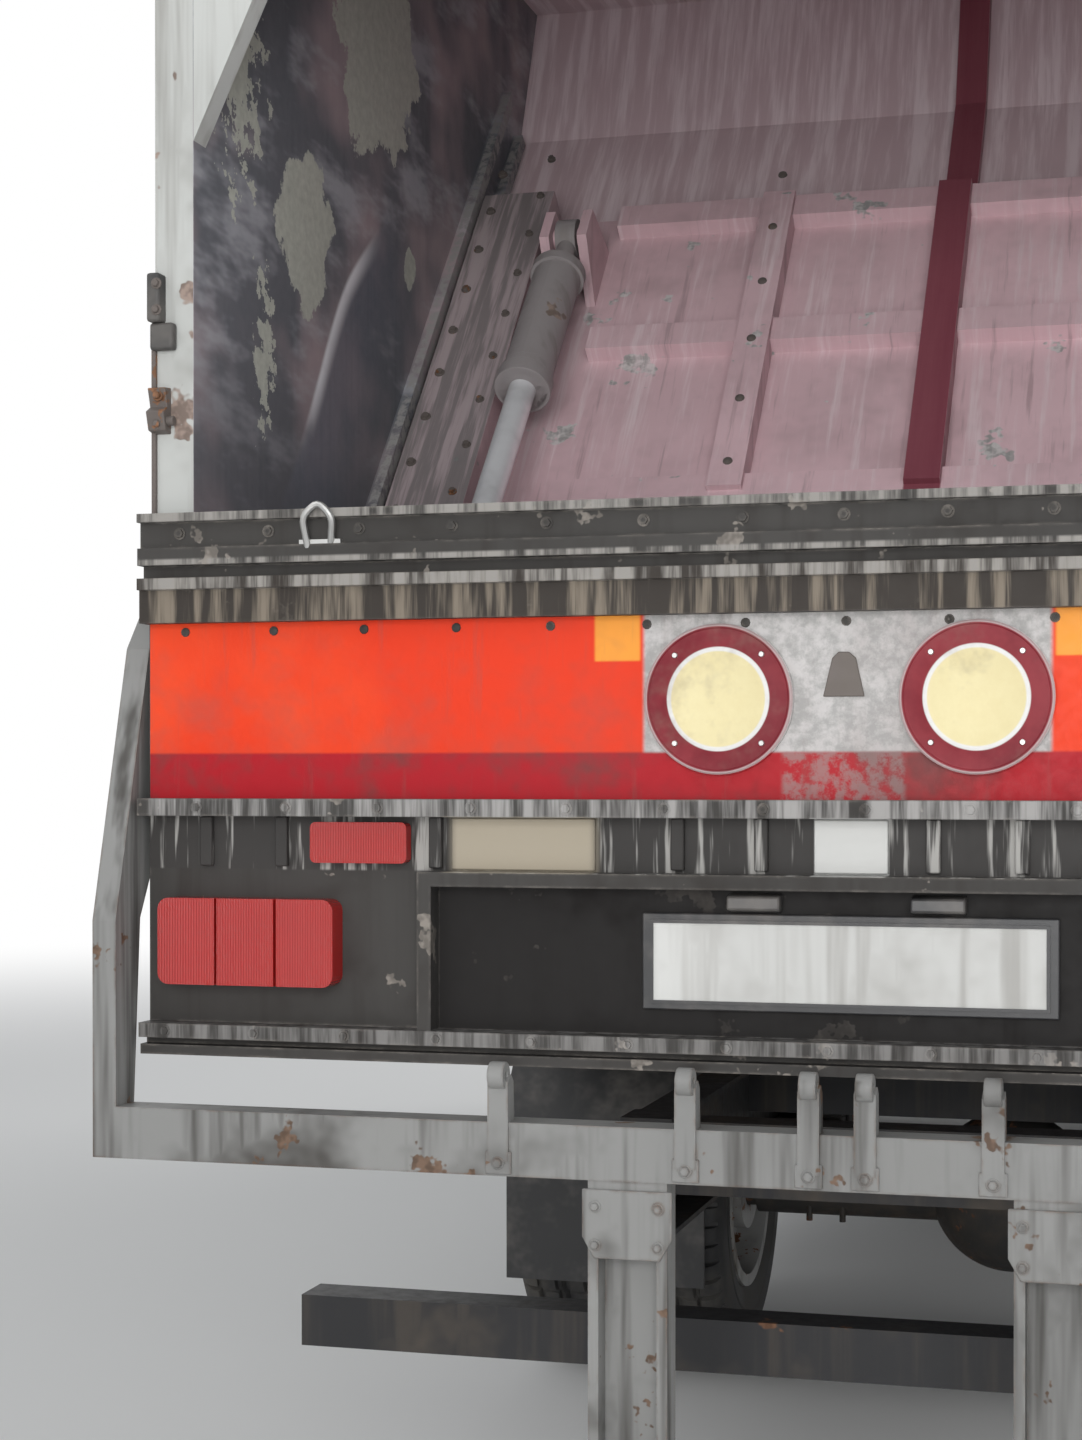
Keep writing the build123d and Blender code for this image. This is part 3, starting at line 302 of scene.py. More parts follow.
def woven(name, colour):
    t = Tree(name)
    weft = t.wave(210, (0, 1, 1))
    warp = t.wave(210, (1, 0, 0))
    threads = t.most(weft, warp)
    wear = t.step(t.noise(3.0, 4, 0.65), 0.4, 0.75)
    t.set(Base_Color=t.mix(threads, tone(colour, 0.55), t.mix(wear, colour, tone(colour, 1.5))))
    t.set(Roughness=0.92, Sheen_Weight=0.3, Sheen_Roughness=0.5)
    t.bump(threads, 0.5, 0.0008)
    return t


def guide_axes(t):
    """Distance up the packer guides, and depth behind their line, from the trough's centre."""
    y = t.less(t.axis("y"), GUIDE_FOOT[0])
    z = t.less(t.axis("z"), GUIDE_FOOT[1])
    sin, cos = math.sin(GUIDE_LEAN), math.cos(GUIDE_LEAN)
    up = t.add(t.product(y, sin), t.product(z, cos))
    behind = t.less(t.product(z, sin), t.product(y, cos))
    return up, behind


def tail_wall():
    """Worn pale paint outside. Inside, scraped dark primer with peeled patches and a polished arc, with a
    painted highlight along the wall's bend and painted bluish shade beside it.
    """
    t = weathered("tail_wall", (0.52, 0.53, 0.51), chips=0.63, streaks=0.55, grime=0.5)
    outside = t.colour
    up, behind = guide_axes(t)
    fine = t.noise(60, 2, 0.7)
    scrapes = t.noise(1.0, 4, 0.65, stretch=(4, 3.2, 9))
    primer = t.step(t.noise(2.3, 3, 0.6, seed=1.0), 0.42, 0.62)
    steel = t.mix(primer, (0.15, 0.157, 0.175), (0.42, 0.335, 0.35))
    steel = t.mix(t.product(t.step(scrapes, 0.5, 0.7), 0.6), steel, (0.56, 0.56, 0.6))
    low = t.fall(t.axis("z"), 1.75, 2.0)
    steel = t.mix(t.product(low, 0.6), steel, (0.12, 0.122, 0.135))
    # Beside the arc that the blade's corner follows: rubbed steel with painted bluish shade where the wall
    # turns away, and a painted highlight along the bend
    bow = t.add(0.368, t.product(t.step(up, 0.0, 0.36), t.fall(up, 0.36, 0.62), 0.036))
    off = t.less(behind, bow)
    rubbed_and_shade = t.product(t.step(off, -0.30, -0.02), t.fall(off, -0.01, 0.01), t.span(up, -0.05, 0.6, 0.12))
    # Rubbed steel and painted shade: bluish dark on the part of the wall that turns away beyond the arc
    steel = t.mix(t.product(rubbed_and_shade, 0.75), steel, (0.21, 0.23, 0.275))
    # Painted highlight: a near-white line along the wall's bend
    bend_highlight = t.product(t.step(off, -0.034, 0.0), t.fall(off, 0.002, 0.014), t.span(up, 0.08, 0.5, 0.1))
    bend_highlight = t.product(bend_highlight, t.step(t.noise(5, 3, 0.6), 0.25, 0.5))
    steel = t.mix(bend_highlight, steel, (0.93, 0.94, 0.97))
    ragged = t.product(t.less(t.noise(9.0, 5, 0.66), 0.5), 4.5)
    specks = t.product(t.less(t.noise(24.0, 4, 0.7), 0.5), 13.0)
    patches = t.most(
        t.blob((-2.50, 2.58), (0.19, 0.19), ragged),
        t.blob((-2.82, 2.16), (0.11, 0.11), ragged),
        t.blob((-2.34, 2.20), (0.03, 0.04), ragged),
        t.blob((-3.08, 2.33), (0.07, 0.13), specks),
        t.blob((-2.99, 1.95), (0.03, 0.10), specks),
    )
    peeled = t.mix(fine, (0.40, 0.41, 0.36), (0.66, 0.67, 0.59))
    steel = t.mix(patches, steel, peeled)
    guide = t.product(t.step(t.axis("x"), -0.9285, -0.9265), t.fall(t.axis("x"), 0.9265, 0.9285))
    steel = t.mix(t.product(guide, t.step(fine, 0.35, 0.6)), steel, (0.34, 0.33, 0.32))
    across = t.unsigned(t.axis("x"))
    inside = t.fall(across, WALL_X + 0.0004, WALL_X + 0.0012)
    t.set(Base_Color=t.mix(inside, outside, steel))
    t.set(Metallic=t.product(inside, rubbed_and_shade, 0.35))
    return t


def tail_top():
    """The roof piece: worn pale paint outside, scraped pink primer on what shows inside."""
    t = weathered("tail_top", (0.52, 0.53, 0.51), chips=0.66, streaks=0.5)
    outside = t.colour
    y, z = t.axis("y"), t.axis("z")
    hood = t.add(t.product(t.add(y, 2.7), -0.595), t.product(t.less(z, 2.96), 0.8036))
    inside = t.product(t.fall(z, 2.93, 2.935), t.fall(hood, -0.03, -0.025), t.step(y, -3.199, -3.197))
    scrape = t.noise(1.0, 4, 0.68, stretch=(40, 2.5, 2.5), seed=3.0)
    primer = t.mix(t.step(scrape, 0.4, 0.66), (0.70, 0.53, 0.56), (0.90, 0.75, 0.78))
    rib = t.product(t.span(t.axis("x"), -0.0305, 0.0305), t.span(z, 2.2, 2.925), t.step(y, -2.1, -2.09))
    primer = t.mix(rib, primer, t.mix(scrape, (0.22, 0.05, 0.075), (0.32, 0.10, 0.125)))
    colour = t.mix(t.step(y, -2.05, -1.9), (0.12, 0.11, 0.11), primer)
    t.set(Base_Color=t.mix(inside, outside, colour))
    return t


def rear_plate():
    """The back panel: brown rubbed sill, grey streaked band, painted shade in the recess, and rails."""
    dirt, bare = (0.035, 0.03, 0.027), (0.2, 0.18, 0.16)
    how = {"chips": 0.63, "chip_scale": 12, "rub": 1.0, "grime": 0.7, "shine": 0.1}
    t = weathered("rear_plate", (0.06, 0.057, 0.054), dirt, bare, **how)
    colour = t.colour
    z = t.axis("z")
    strokes = t.noise(1.0, 4, 0.7, stretch=(34, 34, 2.2), seed=6.0)
    sill = t.mix(t.step(strokes, 0.46, 0.64), (0.045, 0.038, 0.033), (0.25, 0.21, 0.165))
    colour = t.mix(t.product(t.span(z, 1.512, 1.575), 0.85), colour, sill)
    light = t.most(t.span(z, 1.652, 1.67), t.span(z, 1.558, 1.574), t.span(z, 1.592, 1.6))
    colour = t.mix(t.product(light, t.step(strokes, 0.36, 0.6)), colour, (0.30, 0.285, 0.265))
    band = t.span(z, 1.17, 1.244)
    bars = t.mix(t.step(strokes, 0.52, 0.62), (0.055, 0.052, 0.05), (0.40, 0.39, 0.37))
    colour = t.mix(band, colour, bars)
    colour = t.mix(t.product(band, t.span(t.axis("x"), -0.043, 0.054)), colour, (0.62, 0.62, 0.6))
    colour = t.mix(t.product(band, t.span(t.axis("x"), -0.54, -0.338, 0.01)), colour, (0.42, 0.37, 0.29))
    # Painted shade: the recess is coloured near-black for the shade that falls inside it
    recess_shade = t.product(t.span(t.axis("x"), -0.56, 0.56), t.span(z, 0.955, 1.15))
    colour = t.mix(t.product(recess_shade, 0.85), colour, (0.012, 0.011, 0.011))
    rails = t.most(t.product(t.span(z, 0.935, 0.955), 0.55), t.span(z, 1.244, 1.268))
    colour = t.mix(t.product(rails, t.step(strokes, 0.38, 0.62)), colour, (0.34, 0.33, 0.32))
    t.set(Base_Color=colour)
    return t


def markings():
    """Red-orange reflective fields beside a grey ground, over a deeper red strip."""
    t = Tree("markings")
    x, z = t.unsigned(t.add(t.axis("x"), 0.004)), t.axis("z")
    fine = t.noise(44, 4, 0.7)
    smudge = t.step(t.noise(5.5, 4, 0.7), 0.46, 0.74)
    field = t.mix(t.step(t.noise(2.4, 3), 0.4, 0.7), (0.74, 0.045, 0.014), (0.83, 0.075, 0.022))
    ground = t.mix(t.step(fine, 0.35, 0.65), (0.36, 0.35, 0.34), (0.56, 0.54, 0.53))
    colour = t.mix(t.step(x, 0.262, 0.270), ground, field)
    amber = t.product(t.step(x, 0.268, 0.274), t.fall(x, 0.330, 0.336), t.step(z, 1.45, 1.454))
    colour = t.mix(amber, colour, (0.86, 0.33, 0.05))
    strip = t.fall(z, 1.328, 1.333)
    colour = t.mix(strip, colour, t.mix(smudge, (0.40, 0.012, 0.02), (0.17, 0.02, 0.024)))
    grey_foot = t.product(strip, t.fall(x, 0.075, 0.085), t.step(fine, 0.4, 0.6))
    colour = t.mix(t.product(grey_foot, 0.6), colour, (0.3, 0.26, 0.25))
    runs = t.step(t.noise(1, 4, 0.7, stretch=(30, 30, 3)), 0.5, 0.8)
    dirt = t.most(t.product(smudge, 0.35), t.product(runs, 0.4))
    colour = t.mix(dirt, colour, (0.16, 0.1, 0.09))
    t.set(Base_Color=colour, Roughness=t.step(fine, 0.3, 0.8, 0.35, 0.6), Specular_IOR_Level=0.15)
    t.bump(t.cells(420), 0.12, 0.0004)
    t.bump(fine, 0.12, 0.0008)
    return t


def disc_faces():
    """Round faces: dark maroon ring with pale rims, blank cream centre."""
    t = Tree("disc_faces")
    fine = t.noise(52, 4, 0.7)
    x = t.less(t.unsigned(t.axis("x")), DISC_X)
    z = t.less(t.axis("z"), DISC_Z)
    r = t.math("SQRT", t.squares(x, z))
    cream = t.mix(fine, (0.72, 0.62, 0.34), (0.80, 0.72, 0.44))
    white = t.mix(fine, (0.66, 0.64, 0.62), (0.8, 0.79, 0.77))
    ring = t.mix(t.step(t.noise(9, 4, 0.65), 0.4, 0.7), (0.17, 0.013, 0.022), (0.25, 0.03, 0.04))
    colour = t.mix(t.step(r, 0.0615, 0.064), cream, white)
    colour = t.mix(t.step(r, 0.0675, 0.0695), colour, ring)
    colour = t.mix(t.step(r, 0.0945, 0.0965), colour, (0.45, 0.34, 0.34))
    grime = t.product(t.step(t.noise(12, 4, 0.7), 0.5, 0.75), 0.3)
    t.set(Base_Color=t.mix(grime, colour, (0.2, 0.15, 0.12)), Roughness=0.5, Specular_IOR_Level=0.2)
    t.bump(fine, 0.1, 0.0006)
    return t


def packer_plate():
    """Faded pink primer, scraped along the packer's travel, with a dark red middle rib."""
    dirt, bare = (0.26, 0.18, 0.185), (0.5, 0.48, 0.47)
    t = weathered("packer_plate", (0.80, 0.56, 0.60), dirt, bare, chips=0.64, grime=0.3)
    colour = t.colour
    behind = guide_axes(t)[1]
    scrape = t.noise(1.0, 4, 0.68, stretch=(46, 2.5, 2.5), seed=3.0)
    colour = t.mix(t.product(t.step(scrape, 0.5, 0.72), 0.6), colour, (0.90, 0.77, 0.79))
    colour = t.mix(t.product(t.fall(scrape, 0.28, 0.42), 0.5), colour, (0.36, 0.24, 0.26))
    rib = t.product(t.span(t.axis("x"), -0.0305, 0.0305), t.step(behind, 0.019, 0.024))
    colour = t.mix(rib, colour, t.mix(scrape, (0.22, 0.05, 0.075), (0.32, 0.10, 0.125)))
    side = t.step(t.unsigned(t.axis("x")), 0.764, 0.766)
    greenish = t.mix(t.step(scrape, 0.45, 0.6), (0.15, 0.155, 0.15), (0.36, 0.31, 0.315))
    colour = t.mix(t.product(side, 0.85), colour, greenish)
    t.set(Base_Color=colour)
    return t


def tread_rubber():
    t = Tree("tread_rubber")
    dust = t.step(t.noise(7, 4, 0.7), 0.4, 0.75)
    t.set(Base_Color=t.mix(t.product(dust, 0.6), (0.022, 0.022, 0.023), (0.13, 0.12, 0.105)))
    t.set(Roughness=t.step(dust, 0, 1, 0.62, 0.9))
    t.bump(t.noise(160, 4, 0.6), 0.2, 0.0008)
    return t


trees = [
    weathered("body_white", (0.62, 0.63, 0.61), streaks=0.36, grime=0.2, chips=0.70, shine=0.35),
    weathered(
        "cab_white", (0.68, 0.69, 0.67), streaks=0.16, grime=0.1, chips=0.74, rough=0.3, coat=0.6, shine=0.4
    ),
    weathered("chassis_black", (0.035, 0.035, 0.037), (0.12, 0.1, 0.08), (0.16, 0.08, 0.045), grime=0.7),
    weathered(
        "axle_black", (0.05, 0.048, 0.046), (0.13, 0.1, 0.075), (0.17, 0.085, 0.05), grime=0.9, chips=0.58
    ),
    weathered("engine_grey", (0.13, 0.13, 0.135), dirt=(0.04, 0.032, 0.028), grime=0.9),
    polished("tank_metal", (0.62, 0.63, 0.65), 0.26, (8, 90, 90)),
    weathered("exhaust_steel", (0.17, 0.14, 0.12), bare=(0.24, 0.11, 0.05), chips=0.53, chip_scale=14),
    moulded("guard_plastic", (0.03, 0.03, 0.031)),
    weathered("guard_grey", (0.4, 0.41, 0.41), grime=0.6),
    moulded("bumper_grey", (0.15, 0.155, 0.16), dust=0.25),
    weathered(
        "rim_silver",
        (0.46, 0.46, 0.45),
        (0.11, 0.085, 0.065),
        (0.2, 0.1, 0.055),
        grime=0.75,
        chips=0.6,
        chip_scale=16,
    ),
    clear_glass("glass"),
    moulded("dash_plastic", (0.07, 0.07, 0.074), dust=0.2),
    woven("seat_cloth", (0.07, 0.08, 0.105)),
    moulded("grille_black", (0.028, 0.028, 0.03), rough=0.4),
    lens("clear_lens", (0.7, 0.71, 0.7)),
    moulded("mirror_black", (0.026, 0.026, 0.028), rough=0.42),
    lens("amber_lens", (0.85, 0.27, 0.02), 150, (1, 1, 0)),
    weathered("floor_grey", (0.16, 0.16, 0.16), grime=0.8),
    weathered("ejector_grey", (0.3, 0.3, 0.29), grime=0.7, chips=0.56),
    tail_wall(),
    tail_top(),
    polished("zinc", (0.5, 0.5, 0.49), 0.3, (30, 30, 30)),
    weathered("rust_bolt", (0.14, 0.12, 0.11), bare=(0.2, 0.1, 0.055), chips=0.57, chip_scale=20),
    polished("mirror_glass", (0.85, 0.86, 0.87), 0.02, (1, 1, 1)),
    weathered("plate_white", (0.6, 0.6, 0.58), chips=0.72, rough=0.35),
    weathered("trough_steel", (0.2, 0.175, 0.17), bare=(0.34, 0.32, 0.31), grime=0.8, chips=0.6, metal=0.4),
    rear_plate(),
    markings(),
    lens("red_lens", (0.42, 0.012, 0.01)),
    packer_plate(),
    weathered(
        "blade_steel",
        (0.42, 0.29, 0.31),
        bare=(0.5, 0.49, 0.48),
        chips=0.62,
        chip_scale=5,
        rub=1.0,
        metal=0.4,
    ),
    weathered("cylinder_grey", (0.36, 0.33, 0.33), grime=0.6, chips=0.62),
    # Painted reflection: the rods' near-white colour with low metallic stands in for bright sky reflected
    # in the chrome
    polished("rod_chrome", (0.95, 0.96, 0.98), 0.1, (10, 60, 60), 0.35),
    weathered("lifter_grey", (0.25, 0.25, 0.243), (0.045, 0.04, 0.035), (0.13, 0.085, 0.06), **WORN_ARM),
    tread_rubber(),
    disc_faces(),
]
materials = {tree.name: tree.material for tree in trees}

# The first words of the nodes' names that take each material
NODE_MATERIALS = {
    "chassis_black": ("chassis_frame",),
    "axle_black": ("front_axle", "rear_axle", "tie_rod", "knuckle"),
    "engine_grey": ("engine_block", "driveline"),
    "tank_metal": ("fuel_tank",),
    "guard_plastic": ("battery_box", "rear_mudguards"),
    "exhaust_steel": ("silencer",),
    "guard_grey": ("side_guards",),
    "bumper_grey": ("front_bumper",),
    "rim_silver": ("rim",),
    "tread_rubber": ("tyre",),
    "cab_white": ("cab_shell", "door"),
    "glass": ("cab_glass", "door_glass"),
    "dash_plastic": ("cab_inside",),
    "seat_cloth": ("seats",),
    "grille_black": ("front_grille",),
    "clear_lens": ("head_lamps",),
    "mirror_black": ("mirrors",),
    "amber_lens": ("beacon",),
    "floor_grey": ("body_floor",),
    "body_white": ("body",),
    "ejector_grey": ("ejector",),
    "tail_wall": ("tail_side",),
    "tail_top": ("tail_roof",),
    "trough_steel": ("hopper_trough",),
    "rear_plate": ("rear_panel",),
    "markings": ("marking_panel",),
    "red_lens": ("rear_lamps",),
    "packer_plate": ("packer_carriage",),
    "blade_steel": ("packer_blade",),
    "cylinder_grey": ("packer_barrels", "tail_barrels"),
    "rod_chrome": ("packer_rods", "tail_rods"),
    "lifter_grey": ("bin_lifter",),
}


def dress_nodes():
    """Each CAD node takes the material whose first words fit the most of its name."""
    starts = {start: material for material, group in NODE_MATERIALS.items() for start in group}
    for name, node in nodes.items():
        key = max((start for start in starts if name.startswith(start)), key=len)
        for slot in node.material_slots:
            slot.material = materials[starts[key]]


dress_nodes()


# Shapes


class Shape:
    """Collects solids in one mesh, in the frame's metres, and makes a piece of them."""

    def __init__(self):
        self.mesh = bmesh.new()

    def add(self, places, faces):
        made = [self.mesh.verts.new(place) for place in places]
        for face in faces:
            self.mesh.faces.new([made[i] for i in face])
        return self

    def prism(self, outline, low, high, axis="x"):
        """An outline in the other two axes, pushed from low to high."""
        at = "xyz".index(axis)
        n = len(outline)
        places = []
        for level in (low, high):
            for pair in outline:
                places.append((*pair[:at], level, *pair[at:]))
        sides = [(i, (i + 1) % n, n + (i + 1) % n, n + i) for i in range(n)]
        return self.add(places, [tuple(range(n))[::-1], tuple(range(n, 2 * n)), *sides])

    def box(self, x, y, z):
        return self.prism(rectangle(x, y), *z, "z")

    def sweep(self, rings, closed_path=False):
        """Joins rings of places by quads, with flat ends."""
        size = len(rings[0])
        places = [p for ring in rings for p in ring]
        faces = []
        last = len(rings) if closed_path else len(rings) - 1
        for r in range(last):
            here, there = r * size, ((r + 1) % len(rings)) * size
            for i in range(size):
                k = (i + 1) % size
                faces.append((here + i, here + k, there + k, there + i))
        if not closed_path:
            faces += [tuple(range(size))[::-1], tuple(range(len(places) - size, len(places)))]
        return self.add(places, faces)

    def bar(self, start, end, radius, sides=16, end_radius=None):
        start, end = Vector(start), Vector(end)
        one, two = axes_of(end - start)[1:]
        end_radius = radius if end_radius is None else end_radius
        rings = [circle(start, one, two, radius, sides), circle(end, one, two, end_radius, sides)]
        return self.sweep(rings)

    def pipe(self, path, radius, sides=10, bend=4):
        """A round pipe along a path whose corners are rounded."""
        path = rounded([Vector(p) for p in path], bend)
        rings = []
        one = None
        for i, place in enumerate(path):
            along = (path[min(i + 1, len(path) - 1)] - path[max(i - 1, 0)]).normalized()
            one = axes_of(along)[1] if one is None else (one - along * one.dot(along)).normalized()
            two = along.cross(one)
            rings.append(circle(place, one, two, radius, sides))
        return self.sweep(rings)

    def lathe(self, profile, centre, direction=(1, 0, 0), sides=48):
        """A closed profile of (distance along, radius), turned about a line through the centre."""
        centre = Vector(centre)
        along, one, two = axes_of(direction)
        rings = []
        for a in turns(sides):
            out = one * math.cos(a) + two * math.sin(a)
            rings.append([centre + along * d + out * max(r, 0.0003) for d, r in profile])
        return self.sweep(rings, closed_path=True)

    def bolt(self, place, normal, radius=0.009, height=0.007):
        """A hexagon head on its washer."""
        place, normal = Vector(place), Vector(normal).normalized()
        self.bar(place - normal * 0.002, place + normal * height * 0.25, radius * 1.35, 14)
        return self.bar(place, place + normal * height, radius, 6, radius * 0.93)

    def rivet(self, place, normal, radius=0.007):
        place, normal = Vector(place), Vector(normal).normalized()
        shoulder, crown = place + normal * radius * 0.35, place + normal * radius * 0.6
        self.bar(place - normal * 0.001, shoulder, radius, 10, radius * 0.85)
        return self.bar(shoulder, crown, radius * 0.85, 10, radius * 0.4)

    def make(self, name, material, body, slot, soften=0.0, angle=35):
        """Makes the piece, with rounded edges where soften is set, and rides it on its body."""
        bmesh.ops.recalc_face_normals(self.mesh, faces=self.mesh.faces)
        data = bpy.data.meshes.new(name)
        self.mesh.to_mesh(data)
        self.mesh.free()
        data.materials.append(materials[material])
        for face in data.polygons:
            face.use_smooth = True
        data.set_sharp_from_angle(angle=math.radians(angle))
        piece = bpy.data.objects.new(name, data)
        bpy.context.scene.collection.objects.link(piece)
        if soften:
            bevel = piece.modifiers.new("soften", "BEVEL")
            bevel.width = soften
            bevel.segments = 2
            bevel.limit_method = "ANGLE"
            bevel.angle_limit = math.radians(40)
        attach(piece, body)
        return piece


def turns(count):
    return [2 * math.pi * i / count for i in range(count)]


def circle(centre, one, two, radius, sides):
    return [centre + radius * (one * math.cos(a) + two * math.sin(a)) for a in turns(sides)]


def polar(centre, radius, angle):
    """The two coordinates of a place on a circle."""
    return centre[0] + radius * math.cos(angle), centre[1] + radius * math.sin(angle)


def about(middle, half):
    return middle - half, middle + half


def rectangle(a, b):
    """The corners of a rectangle, from its (low, high) spans."""
    return [(a[0], b[0]), (a[1], b[0]), (a[1], b[1]), (a[0], b[1])]


def on(side, near, far):
    """A span of X on the left (-1) or right (1) side, lowest first."""
    return sorted((side * near, side * far))


def spaced(count, start, end):
    return [start + i * (end - start) / (count - 1) for i in range(count)]


def axes_of(direction):
    """A direction with two others square to it."""
    along = Vector(direction).normalized()
    side = Vector((0, 0, 1)) if abs(along.z) < 0.9 else Vector((0, 1, 0))
    one = side.cross(along).normalized()
    return along, one, along.cross(one)


def rounded(path, steps):
    """The path with each corner replaced by a short curve."""
    smooth = [path[0]]
    for before, corner, after in zip(path, path[1:], path[2:]):
        reach = 0.4 * min((corner - before).length, (after - corner).length)
        start = corner + (before - corner).normalized() * reach
        end = corner + (after - corner).normalized() * reach
        for i in range(steps + 1):
            t = i / steps
            smooth.append(start * (1 - t) ** 2 + corner * 2 * t * (1 - t) + end * t * t)
    return smooth + [path[-1]]


def guide_point(up, behind):
    sin, cos = math.sin(GUIDE_LEAN), math.cos(GUIDE_LEAN)
    return GUIDE_FOOT[0] + up * sin - behind * cos, GUIDE_FOOT[1] + up * cos + behind * sin


# Back of the tailgate


def discs():
    """Two thin round discs with a raised rim, screwed to the panel."""
    shape = Shape()
    screws = Shape()
    face = DISC_Y + 0.0005
    for x in (-DISC_X, DISC_X):
        profile = [(0, 0), (0, DISC_R - 0.001), (0.0025, DISC_R - 0.001), (0.0045, DISC_R - 0.003)]
        profile += [(0.0045, DISC_R - 0.006), (0.003, DISC_R - 0.0075), (0.003, 0.068), (0.0036, 0.0665)]
        profile += [(0.0036, 0.062), (0.003, 0.061), (0.003, 0)]
        shape.lathe(profile, (x, face, DISC_Z), BACK, 72)
        for angle in (45, 135, 225, 315):
            at, height = polar((x, DISC_Z), 0.082, math.radians(angle))
            depth = face - 0.003
            screws.bar((at, depth, height), (at, depth - 0.0022, height), 0.0042, 12, 0.0032)
    shape.make("discs", "disc_faces", "tailgate", "marking")
    screws.make("disc_screws", "zinc", "tailgate", "panel_paint")


def number_plate():
    """Blank plate on its holder in the recess, with two small lamps over it."""
    holder, plate, lamps = Shape(), Shape(), Shape()
    back = PANEL_Y + 0.040
    holder.box((-0.272, 0.272), (back - 0.010, back), (0.990, 1.118))
    plate.box((-0.260, 0.260), (back - 0.013, back - 0.010), (0.999, 1.109))
    rim = Shape()
    for z in ((0.999, 1.003), (1.105, 1.109)):
        rim.box((-0.260, 0.260), (back - 0.0145, back - 0.013), z)
    for x in ((-0.260, -0.256), (0.256, 0.260)):
        rim.box(x, (back - 0.0145, back - 0.013), (1.003, 1.105))
    hood = [(back, 1.120), (back - 0.028, 1.124), (back - 0.026, 1.142), (back, 1.146)]
    for x in (-0.12, 0.12):
        lamps.prism(hood, *about(x, 0.035))
    holder.make("plate_holder", "grille_black", "tailgate", "panel_paint", 0.002)
    plate.make("plate_blank", "plate_white", "tailgate", "marking", 0.0008)
    rim.make("plate_rim", "grille_black", "tailgate", "panel_paint")
    lamps.make("plate_lamps", "grille_black", "tailgate", "tail_lamp", 0.003)


def sill_fittings():
    """Bolts and rivets along the courses, and two lifting eyes."""
    bolts, eye = Shape(), Shape()
    for x in spaced(15, -0.93, 0.93):
        bolts.bolt((x, PANEL_Y + 0.012, 1.636), BACK, 0.0065, 0.005)
        bolts.bolt((x + 0.03, PANEL_Y, 1.256), BACK, 0.0065, 0.005)
        bolts.bolt((x - 0.02, PANEL_Y + 0.004, 0.945), BACK, 0.006, 0.005)
        bolts.rivet((x, PANEL_Y + 0.030, 1.500), BACK)
    bend = [(-0.022, 0.006, 1.612), (-0.024, -0.010, 1.652), (0, -0.012, 1.672)]
    bend += [(0.020, -0.010, 1.650), (0.012, 0.006, 1.618)]
    for x in (-0.715, 0.715):
        eye.pipe([(x + a, PANEL_Y + b, z) for a, b, z in bend], 0.005)
        eye.box((x - 0.034, x + 0.026), (PANEL_Y + 0.004, PANEL_Y + 0.013), (1.598, 1.622))
    bolts.make("rear_bolts", "rear_plate", "tailgate", "panel_paint")
    eye.make("sill_eyes", "zinc", "tailgate", "panel_paint")


def band_plates():
    """Low worn plates on the streaked band, and the middle mark's bracket on the panel."""
    shape = Shape()
    for x in ((-0.043, 0.054), (-0.54, -0.338), (0.338, 0.54)):
        shape.box(x, (PANEL_Y + 0.034, PANEL_Y + 0.041), (1.172, 1.242))
    for x in spaced(17, -0.90, 0.90):
        if abs(x) > 0.07 and not 0.33 < abs(x) < 0.55 and not 0.58 < abs(x) < 0.76:
            shape.box(about(x, 0.009), (PANEL_Y + 0.030, PANEL_Y + 0.041), (1.174, 1.243))
    shape.make("band_plates", "rear_plate", "tailgate", "panel_paint", 0.002)
    mark = Shape()
    outline = [(-0.030, 1.402), (0.024, 1.402), (0.013, 1.452)]
    outline += [(0.004, 1.460), (-0.010, 1.460), (-0.018, 1.452)]
    mark.prism(outline, PANEL_Y + 0.0262, PANEL_Y + 0.0305, "y")
    mark.make("panel_bracket", "rust_bolt", "tailgate", "panel_paint", 0.0015)


def pillar_fittings():
    """Rubber stop and latches on each pillar's outer corner, with a guide strip between them."""
    rubber, latch = Shape(), Shape()
    x_out = PILLAR_X
    for side in (-1, 1):
        outer = on(side, x_out - 0.016, x_out + 0.004)
        rubber.box(outer, (PILLAR_Y - 0.022, PILLAR_Y + 0.030), (1.939, 2.008))
        rubber.box(on(side, x_out - 0.034, x_out + 0.002), (PILLAR_Y - 0.016, PILLAR_Y), (1.900, 1.938))
        outer = on(side, x_out - 0.003, x_out + 0.004)
        latch.box(outer, (PILLAR_Y - 0.006, PILLAR_Y + 0.02), (1.66, 1.94))
        hook = [(PILLAR_Y + 0.02, 1.779), (PILLAR_Y - 0.018, 1.786), (PILLAR_Y - 0.026, 1.812)]
        hook += [(PILLAR_Y - 0.012, 1.820), (PILLAR_Y - 0.020, 1.846), (PILLAR_Y + 0.02, 1.850)]
        latch.prism(hook, *on(side, x_out - 0.024, x_out + 0.003))
        pin = [(side * (x_out + reach), PILLAR_Y - 0.010, 1.800) for reach in (-0.034, 0.004)]
        latch.bar(*pin, 0.007)
        for z, out in ((1.795, 0.018), (1.835, 0.018), (1.955, 0.022), (1.992, 0.022)):
            latch.bolt((side * (x_out - 0.012), PILLAR_Y - out, z), BACK, 0.006)
    rubber.make("pillar_stops", "guard_plastic", "tailgate", "guard_plastic", 0.004)
    latch.make("pillar_latches", "rust_bolt", "tailgate", "tail_paint", 0.0015)


